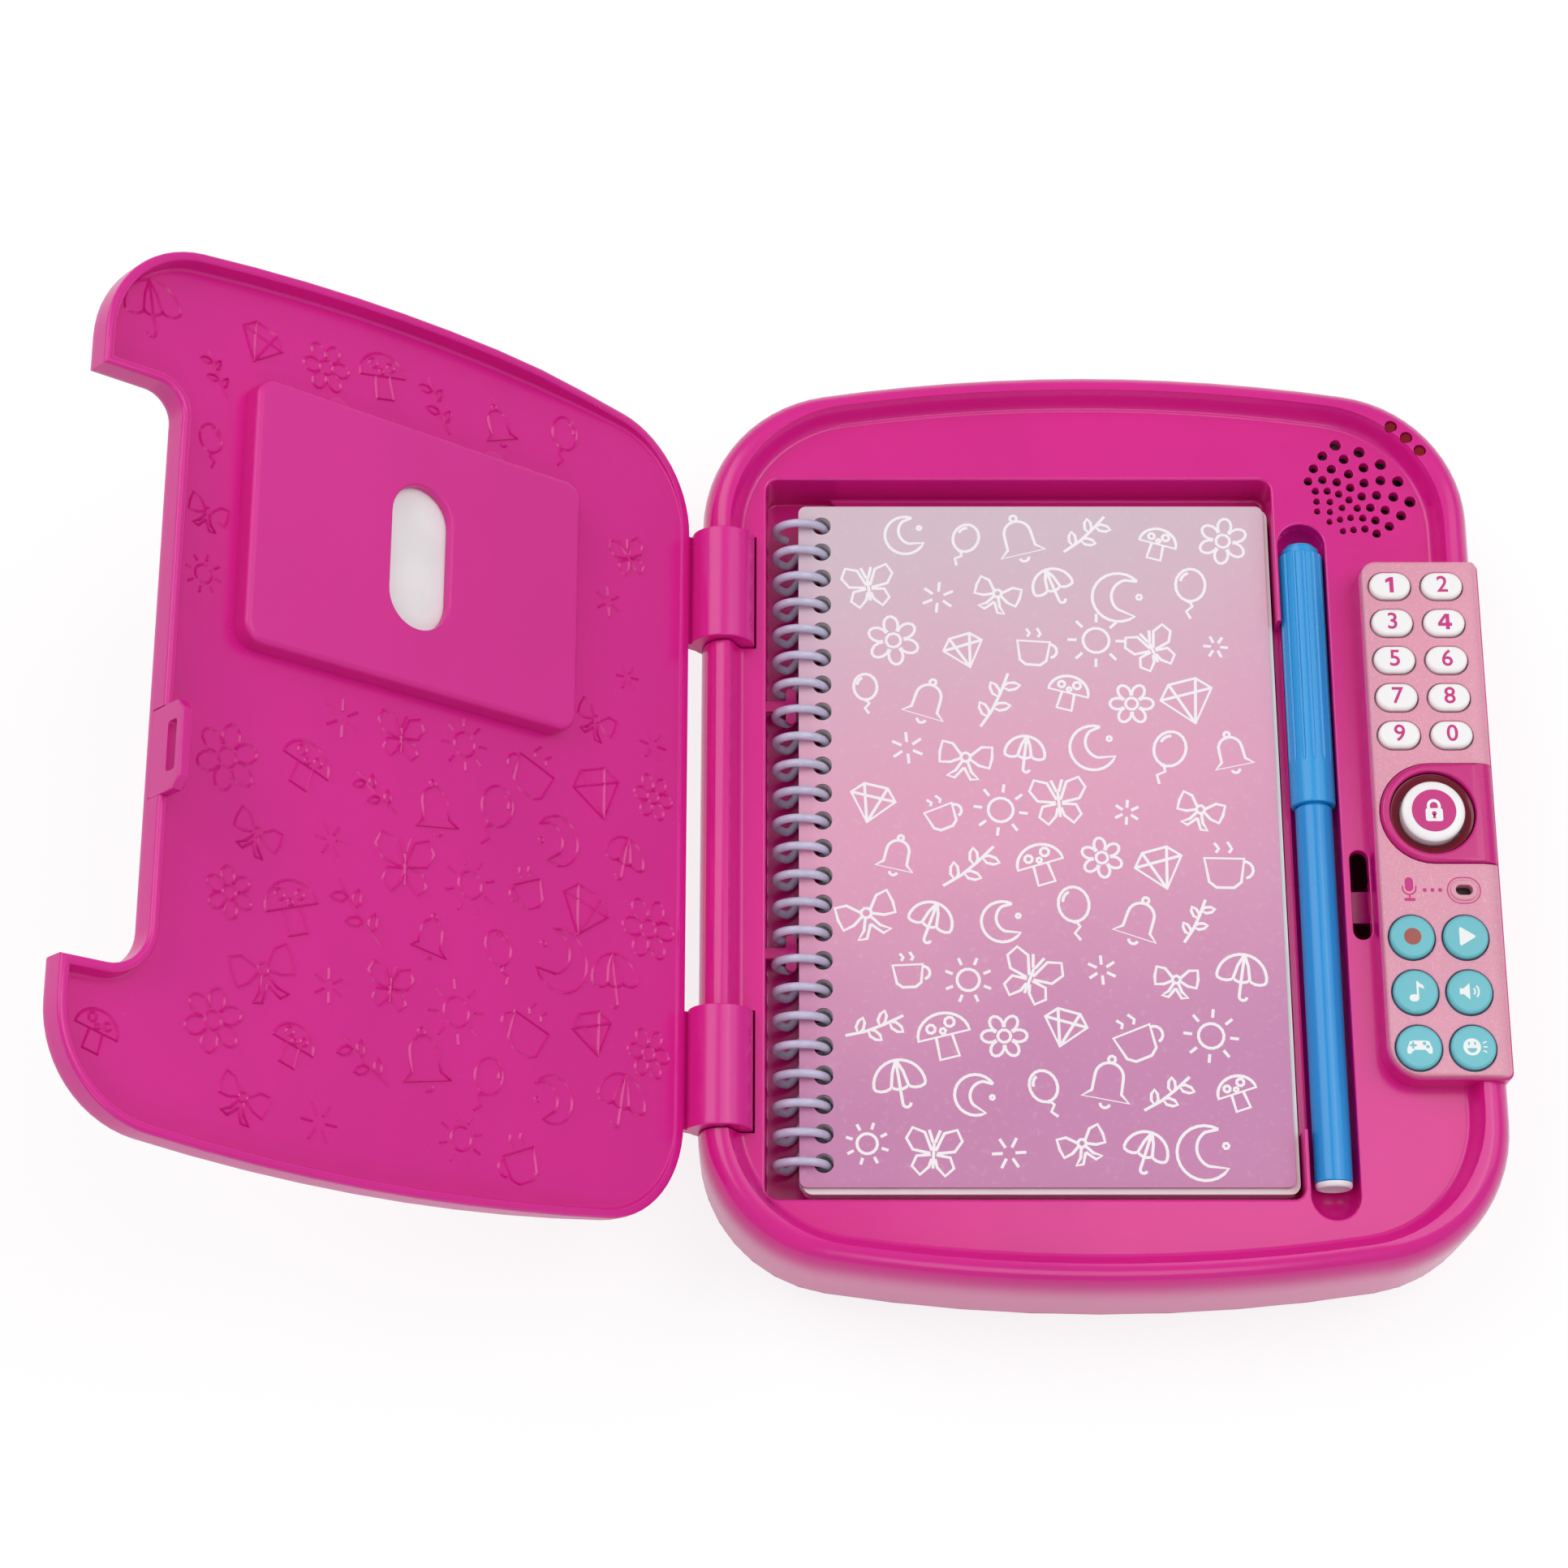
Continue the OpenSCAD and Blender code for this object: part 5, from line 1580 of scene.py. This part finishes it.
@dataclass
class Print:
    """The printed marks about one point of the keypad, measured from that point."""

    x: float
    y: float
    z: float

    def flat(self, path: Path, up: float = 0.0) -> Object:
        """Builds a thin flat mark, up mm above the surface."""
        return Bench.solid("mark", path, self.z + up - 0.01, [(0, 0.03)])

    def hole(self, path: Path) -> Object:
        """Builds a cutter for an open place in a mark."""
        return Bench.solid("cut", path, self.z - 1, [(0, 2)])

    def shape(self, *points: Point) -> Path:
        """Draws a closed outline through points."""
        return Path.about(self.x, self.y, *points)

    def disc(self, x: float, y: float, r: float) -> Path:
        """Draws a circle."""
        return Path.circle(self.x + x, self.y + y, r)

    def pill(self, x: float, y: float, w: float, h: float) -> Path:
        """Draws a rectangle with round ends."""
        return Path.stadium(self.x + x, self.y + y, w, h)

    def block(self, x0: float, y0: float, x1: float, y1: float, r: float) -> Path:
        """Draws a rounded rectangle."""
        return Path.rounded(self.x + x0, self.y + y0, self.x + x1, self.y + y1, r)

    def lines(self, width: float, height: float, up: float, *strokes: Stroke) -> Object:
        """Draws lines of a width and a height, up mm above the surface."""
        moved = [turned(stroke, 0, self.x, self.y) for stroke in strokes]
        return Inker.draw("lines", moved, width, height, self.z + up)

    @staticmethod
    def lay(made: list[Object], name: str, finish: Finish, body: str, slot: str) -> Object:
        """Joins the parts of a mark, names it and sets it on its body."""
        return settle(Bench.join(name, made), finish, body, even=False)

    def figure(self, n: int) -> Object:
        """Sets a figure in the plain built-in letters."""
        Bench.none()
        bpy.ops.object.text_add()
        obj = bpy.context.object
        text = obj.data
        text.body, text.size = str(n), 5.0 * MM
        text.align_x, text.align_y = "CENTER", "CENTER"
        text.offset, text.extrude = 0.06 * MM, 0.02 * MM
        text.resolution_u = 4
        spot = Matrix.Translation(Vector((self.x, self.y, self.z + 0.005)) * MM)
        return Bench.place(Bench.mesh(obj), spot)

    def digit(self, n: int) -> Object:
        """Prints a plain figure on a number key."""
        mark = self.flat(self.shape(*FIGURES[n])) if n in FIGURES else self.figure(n)
        if n == 4:
            Bench.cut(mark, self.hole(self.shape((-0.6, -0.25), (0.2, -0.25), (0.2, 0.9))))
        return self.lay([mark], f"figure_{n}", Finish.ICON_PINK, f"key_{n}", "lid_pink")

    def badge(self) -> list[Object]:
        """Prints the lock button's emblem: a pink disc with a white padlock on it."""
        bow = [(-1.1, 0.3)] + ring(0, 1.0, 1.1, 180, 0, 12) + [(1.1, 0.3)]
        keyhole = self.shape((-0.2, -0.8), (0.2, -0.8), (0.32, -1.7), (-0.32, -1.7))
        parts = (
            ("", Finish.ICON_PINK, "lid_pink", [self.flat(self.disc(0, 0, 4.5))]),
            ("_white", Finish.ICON_WHITE, "white_plastic",
             [self.flat(self.block(-1.75, -2.3, 1.75, 0.45, 0.5), 0.02),
              self.lines(0.62, 0.06, 0.03, bow)]),
            ("_hole", Finish.ICON_PINK, "lid_pink",
             [self.flat(self.disc(0, -0.65, 0.48), 0.04), self.flat(keyhole, 0.04)]),
        )
        return [self.lay(made, f"lock_badge{name}", finish, "unlock_button", slot)
                for name, finish, slot, made in parts]

    def sign(self, sign: Sign) -> Object:
        """Prints a function button's common sign."""
        finish = Finish.ICON_RED if sign is Sign.RECORD else Finish.ICON_WHITE
        made = getattr(self, "_" + sign.value)()
        return self.lay(made, f"{sign.value}_sign", finish, f"{sign.value}_button",
                        "white_plastic")

    def _record(self) -> list[Object]:
        """Prints a dot."""
        return [self.flat(self.disc(0, 0, 1.75))]

    def _play(self) -> list[Object]:
        """Prints a triangle with blunt corners."""
        return [self.flat(self.shape((-1.4, -1.6), (-1.15, -1.95), (1.75, -0.18), (1.75, 0.18),
                                     (-1.15, 1.95), (-1.4, 1.6)))]

    def _music(self) -> list[Object]:
        """Prints a note."""
        return [
            self.flat(self.pill(-0.45, -1.35, 1.9, 1.45)),
            self.flat(self.block(0.1, -1.4, 0.5, 2.1, 0.1), 0.006),
            self.flat(self.shape((0.1, 2.1), (0.1, 1.1), (1.6, 0.5), (1.45, 1.2)), 0.012),
        ]

    def _volume(self) -> list[Object]:
        """Prints a loudspeaker with two waves."""
        return [
            self.flat(self.shape((-2.1, -0.6), (-1.3, -0.6), (-0.1, -1.7), (-0.1, 1.7),
                                 (-1.3, 0.6), (-2.1, 0.6))),
            self.lines(0.34, 0.05, 0.01, ring(0, 0, 0.95, -42, 42, 6),
                       ring(0, 0, 1.7, -42, 42, 8)),
        ]

    def _games(self) -> list[Object]:
        """Prints a game pad with a cross and two dots left open."""
        pad = self.flat(self.shape(
            (-2.5, -1.3), (-1.9, -1.45), (-1.1, -0.6), (1.1, -0.6), (1.9, -1.45), (2.5, -1.3),
            (2.5, -0.3), (1.9, 1.15), (0.9, 1.3), (-0.9, 1.3), (-1.9, 1.15), (-2.5, -0.3),
        ))
        holes = (self.block(-2.0, 0.12, -0.6, 0.52, 0.05),
                 self.block(-1.5, -0.38, -1.1, 1.02, 0.05),
                 self.disc(0.95, 0.7, 0.36), self.disc(1.6, 0.05, 0.36))
        return [Bench.cut(pad, *map(self.hole, holes))]

    def _mood(self) -> list[Object]:
        """Prints a smiling disc with three rays."""
        x, y = self.x, self.y - 0.25
        mouth = Path((x - 1.35, y)).arc(x - 0.4, y, 180).line(x - 1.35, y)
        holes = (mouth, self.pill(-1.0, 0.7, 0.36, 0.7), self.pill(0.2, 0.7, 0.36, 0.7))
        return [
            Bench.cut(self.flat(self.disc(-0.4, 0, 1.75)), *map(self.hole, holes)),
            self.lines(0.26, 0.05, 0.01, [(1.75, 0.75), (2.5, 1.1)], [(1.85, 0), (2.65, 0)],
                       [(1.75, -0.75), (2.5, -1.1)]),
        ]

    def microphone(self, x: float, y: float) -> list[Object]:
        """Prints the microphone sign, its three dots and the ring round the hole at x, y."""
        cradle = [(-1.35, 1.0)] + ring(0, 0.5, 1.35, 180, 360, 10) + [(1.35, 1.0)]
        dots = [self.flat(self.disc(dx, 0.1, 0.42)) for dx in (3.1, 4.65, 6.2)]
        rim = self.flat(Path.stadium(x, y, 6.9, 5.7))
        Bench.cut(rim, self.hole(Path.stadium(x, y, 6.4, 5.2)))
        made = [
            self.flat(self.pill(0, 1.3, 1.7, 3.0)),
            self.lines(0.32, 0.05, 0.01, cradle, [(0, -0.8), (0, -1.6)]),
            self.flat(self.pill(0, -1.9, 2.3, 0.65)), rim, *dots,
        ]
        return [self.lay(made, "microphone_sign", Finish.ICON_PINK, "base", "lid_pink")]


# The notebook and the pen


@dataclass
class Notebook:
    """The coil-bound notebook's printed cover and coil; its leaves and back board stay as CAD."""

    cover: Box = (-60.65, -77.15, 38.15, 70.35)
    cover_z: Point = (26.2, 27.0)
    hole_x: float = -55.76
    hole_y0: float = -72.2
    pitch: float = 6.0
    holes: int = 24
    hole_r: float = 2.01
    axis: Point = (-60.25, 23.5)
    coil_r: float = 5.3
    wire_r: float = 0.88

    def cover_sheet(self) -> Object:
        """Builds the front cover with its row of punched holes."""
        x0, y0, x1, y1 = self.cover
        z0, z1 = self.cover_z
        sheet = Bench.solid(
            "notebook_cover", Path.rounded(x0, y0, x1, y1, 1.6), z0,
            [(0, z1 - z0 - 0.1)] + over(0.1, 2),
        )
        punch = Bench.solid("punch", Path.circle(0, 0, self.hole_r), z0 - 1, [(0, 3)])
        row = Bench.row(punch, [(self.hole_x, self.hole_y0 + k * self.pitch)
                                for k in range(self.holes)])
        return Bench.cut(sheet, Bench.join("row", row))

    def coil_line(self) -> list[Vector]:
        """Gives the wire's middle line in metres.

        Each turn is flat where it passes the sheets and moves on at its lower left.

        Returns:
            Points along the wire.
        """
        points = []
        for k in range(self.holes):
            y = self.hole_y0 + k * self.pitch
            points += [(-62 + 298 * i / 22, y) for i in range(23)]
            if k < self.holes - 1:
                for t in (i / 6 for i in range(1, 6)):
                    points.append((236 + 62 * t, y + self.pitch * t * t * (3 - 2 * t)))
        (ax, az), r = self.axis, self.coil_r
        turns = [(math.radians(a), y) for a, y in points]
        return [Vector((ax + r * math.cos(a), y, az + r * math.sin(a))) * MM for a, y in turns]

    def build(self) -> list[Object]:
        """Builds the cover with its drawings and the coil."""
        cover = settle(self.cover_sheet(), Finish.COVER, "front_cover",
                       "notebook_front_cover", smooth=30)
        x0, y0, x1, y1 = self.cover
        field = (x0 + 14.5, y0 + 7.6, x1 - 7.0, y1 - 7.4)
        spots = scatter(field, (13.5, 12.0), (4.4, 6.0), [], 3)
        drawing = Inker.sheet("cover_drawing", spots, 0.62, 0.05, self.cover_z[1] + 0.01)
        settle(drawing, Finish.WHITE_PRINT, "front_cover", smooth=60, even=False)
        wire = Inker.bend("notebook_wire", [self.coil_line()], self.wire_r, 3)
        Bench.place(wire, Matrix.Identity(4))
        settle(wire, Finish.WIRE, "notebook", "notebook_coil", smooth=60, even=False)
        return [cover, drawing, wire]


@dataclass
class Pen:
    """The felt pen: fluted cap, barrel and hollow end plug."""

    axis: Point = PEN
    y0: float = -77.7
    y1: float = 60.4
    cap_y: float = 2.4
    cap_r: float = 4.6
    barrel_r: float = 3.8
    flutes: int = 14

    def at(self, y: float) -> Place:
        """Gives the point of the axis at y."""
        return self.axis[0], y, self.axis[1]

    def barrel(self) -> Object:
        """Turns the barrel with its neck inside the cap."""
        r, end = self.barrel_r, self.cap_y - self.y0
        return Bench.lathe(
            "pen_tube",
            [(3.3, 1.25), (r - 0.25, 1.25), (r - 0.06, 1.35), (r, 1.7), (r, end - 0.7),
             (r - 0.12, end - 0.45), (3.35, end - 0.4), (3.35, end + 33), (2.7, end + 44),
             (2.3, end + 44), (2.3, 7.1), (3.3, 7.1), (3.3, 1.25)],
            self.at(self.y0), lying=True,
        )

    def end_plug(self) -> Object:
        """Turns the white plug with its hollow end."""
        r = self.barrel_r
        return Bench.lathe(
            "pen_plug",
            [(0, 3.0), (2.35, 3.0), (2.7, 2.6), (2.8, 0.5), (2.95, 0.1), (r - 0.65, 0.0),
             (r - 0.4, 0.08), (r - 0.18, 0.35), (r - 0.1, 0.8), (r - 0.14, 1.15), (3.25, 1.2),
             (3.25, 6.9), (2.2, 6.95), (2.2, 8.0), (0, 8.0)],
            self.at(self.y0), lying=True,
        )

    def cap(self) -> Object:
        """Turns the cap, flutes its sides and notches its far end."""
        r, length = self.cap_r, self.y1 - self.cap_y
        cap = Bench.lathe(
            "pen_hood",
            [(3.5, 0), (r - 0.45, 0), (r - 0.12, 0.12), (r, 0.5), (r, length - 2.6),
             (r - 0.1, length - 2.3), (r - 0.7, length - 2.2), (r - 0.75, length - 0.9),
             (r - 1.5, length - 0.8), (r - 1.6, length), (0, length), (0, length - 4),
             (3.5, length - 4), (3.5, 0)],
            self.at(self.cap_y), lying=True, steps=56,
        )
        groove = Bench.lathe(
            "flute",
            [(0, 0), (0.3, 0.8), (0.52, 2.2), (0.52, length - 9), (0.52, length), (0, length)],
            self.at(self.cap_y + 8.5), lying=True, steps=8,
        )
        out = r + 0.12
        turns = [math.tau * (k + 0.5) / self.flutes for k in range(self.flutes)]
        grooves = Bench.row(groove, [(out * math.cos(a), 0, out * math.sin(a)) for a in turns])
        return Bench.cut(cap, Bench.join("grooves", grooves))

    def build(self) -> list[Object]:
        """Builds the pen's outside and lets the nib and ink tube keep their CAD shape."""
        return [
            settle(self.barrel(), Finish.BARREL, "pen", "pen_barrel"),
            settle(self.end_plug(), Finish.PLUG, "pen", "pen_end_plug"),
            settle(self.cap(), Finish.CAP, "cap", "pen_cap"),
        ]


@dataclass
class LidRelief:
    """The raised line drawings on the lid's inner face."""

    width: float = 0.62
    height: float = 0.8

    def build(self) -> list[Object]:
        """Draws the motifs in the closed lid's frame and swings them open with it."""
        lid = Lid()
        free = (50.5, -62.5, 75.0, 58.5)
        fields = (
            ((-50.0, 71.5, 62.0, 72.0), (14.6, 14.0), (4.9, 6.0), [free], 8),
            ((-61.5, 13.0, -46.0, 62.0), (13.6, 13.2), (4.6, 5.8), [lid.pocket], 5),
            ((-61.0, -78.0, 62.0, 1.0), (15.2, 13.0), (5.0, 6.8), [lid.pocket, free], 0),
        )
        spots = [s for f in fields for s in scatter(*f)]
        spots = [s for s in spots if self.inside(lid, s)]
        spots += [
            (Motif.UMBRELLA, 60.5, 70.0, 6.4, -12), (Motif.SPRIG, 46.0, 61.5, 4.2, 20),
            (Motif.BALLOON, 46.2, 46.5, 4.4, -8), (Motif.BOW, 46.0, 33.0, 4.2, 12),
            (Motif.SUN, 46.2, 20.5, 3.9, 0), (Motif.MUSHROOM, 62.0, -70.0, 4.8, 15),
        ]
        relief = Inker.sheet("lid_relief", spots, self.width, self.height, lid.face_z)
        return [settle(lid.swing(relief), Finish.LID, "lid", smooth=60, even=False)]

    @staticmethod
    def inside(lid: Lid, spot: Spot) -> bool:
        """Tells whether a motif clears the border wall at the lid's corners."""
        _, x, y, size, _ = spot
        mx, my = lid.middle
        dx = abs(x - mx) + size - (lid.hx - 4.0 - lid.corner)
        dy = abs(y - my) + size - (lid.hy - 8.0 - lid.corner)
        if dx > 0 and dy > 0:
            return math.hypot(dx, dy) < lid.corner + 1.5
        return dx < lid.corner + 1.5 and dy < lid.corner + 2.0


@dataclass
class Frame:
    """The CAD nodes that stay as they are, each with its own finish."""

    nodes: dict[str, Object]
    finishes: dict[str, Finish] = field(default_factory=lambda: {
        "base_bottom_shell": Finish.PAN, "battery_door": Finish.PAN,
        "battery_door_screw": Finish.STEEL, "case_screws": Finish.STEEL,
        "hinge_pins": Finish.STEEL, "battery_cells": Finish.CELL,
        "battery_contacts": Finish.STEEL, "keypad_mat": Finish.MAT,
        "keypad_board": Finish.CIRCUIT, "microphone": Finish.DARK, "status_leds": Finish.LED,
        "speaker_frame": Finish.DARK, "speaker_cone": Finish.DARK,
        "latch_guide": Finish.INNER, "latch_solenoid": Finish.COPPER,
        "latch_bolt": Finish.SURROUND, "picture_card": Finish.CARD,
        "notebook_back_board": Finish.BACKING, "notebook_back_pages": Finish.PAPER,
        "notebook_front_pages": Finish.PAPER, "pen_nib": Finish.PLUG,
        "pen_ink_tube": Finish.INK,
    })

    def build(self) -> list[Object]:
        """Dresses the nodes that are still shown, and gives the hidden ones the case's finish."""
        made = []
        for node in self.nodes.values():
            finish = self.finishes.get(node.name, Finish.CASE)
            node.data.materials.clear()
            node.data.materials.append(finish.material())
            if node.name in self.finishes:
                made.append(node)
        return made


@dataclass
class Studio:
    """The camera, the pale floor and the soft lamps, each with its place, size and watts."""

    eye: Place = (-63.7, -222.0, 684.5)
    tilt: float = 19.26
    lens: float = 77.3
    sensor: float = 36.0
    aim: Place = (-0.04, 0.0, 0.02)
    ambient: float = 0.45
    lamps: dict[str, tuple[Place, float, float]] = field(default_factory=lambda: {
        "key_lamp": ((-1.1, 0.7, 1.6), 1.5, 13.0), "top_lamp": ((0.55, 0.12, 1.7), 1.0, 5.0),
        "fill_lamp": ((1.3, 0.4, 1.5), 1.4, 6.0), "front_lamp": ((0.1, -1.6, 1.4), 0.8, 3.5),
    })

    def camera(self) -> None:
        """Sets the camera where the photograph was taken from."""
        bpy.ops.object.camera_add(location=Vector(self.eye) * MM)
        eye = bpy.context.object
        eye.rotation_euler = (math.radians(self.tilt), 0, 0)
        eye.data.lens, eye.data.sensor_width = self.lens, self.sensor
        eye.data.clip_start, eye.data.clip_end = 0.01, 20.0
        bpy.context.scene.camera = eye

    def lamp(self, name: str, place: Place, size: float, watts: float) -> None:
        """Hangs a square soft lamp that looks at the diary."""
        bpy.ops.object.light_add(type="AREA", location=place)
        lamp = bpy.context.object
        lamp.name = name
        lamp.data.size, lamp.data.energy = size, watts
        aim = Vector(self.aim) - Vector(place)
        lamp.rotation_euler = aim.to_track_quat("-Z", "Y").to_euler()

    def floor(self) -> None:
        """Lays the pale floor, which looks plain white to the camera and keeps the shadow."""
        Bench.none()
        bpy.ops.mesh.primitive_plane_add(size=8.0, location=(0, 0, -0.0005))
        floor = bpy.context.object
        floor.name = "floor"
        r = Recipe("floor_white")
        r.set(Base_Color=(0.86, 0.86, 0.86), Roughness=0.9, Specular_IOR_Level=0.1)
        white = r.raw("ShaderNodeEmission", {}, {"Color": WHITE, "Strength": 1.12})
        ray = r.raw("ShaderNodeLightPath", {}, {})
        rays = [Value(r, ray.outputs[f"Is {kind} Ray"]) for kind in
                ("Camera", "Glossy", "Transmission")]
        # how much of the floor is plain white, seen directly or through clear pieces, and mirrored
        share = (rays[0] + rays[2]) * 0.72 + rays[1] * 0.42
        blend = r.raw(
            "ShaderNodeMixShader", {}, {0: share, 1: r.shader.outputs[0], 2: white.outputs[0]}
        )
        out = r.tree.nodes["Material Output"]
        r.feed(out.inputs["Surface"], blend.outputs[0])
        floor.data.materials.append(r.material)

    def build(self) -> None:
        """Sets the view, the lamps and the background."""
        self.camera()
        self.floor()
        for name, (place, size, watts) in self.lamps.items():
            self.lamp(name, place, size, watts)
        world = bpy.data.worlds.new("studio")
        bpy.context.scene.world = world
        world.use_nodes = True
        back = world.node_tree.nodes["Background"]
        back.inputs[0].default_value = (*WHITE, 1)
        back.inputs[1].default_value = self.ambient
        bpy.context.scene.view_settings.view_transform = "Standard"


def main() -> None:
    """Builds the diary piece by piece around its frame."""
    logging.basicConfig(level=logging.INFO, format="%(name)s %(message)s")
    bpy.ops.object.select_all(action="SELECT")
    bpy.ops.object.delete()
    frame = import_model()
    Studio().build()
    Frame(frame["nodes"]).build()
    for maker in (Case, Lid, LidRelief, Keypad, Notebook, Pen):
        for piece in maker().build():
            log.info("%s: %d faces", piece.name, len(piece.data.polygons))


if __name__ == "__main__":
    main()
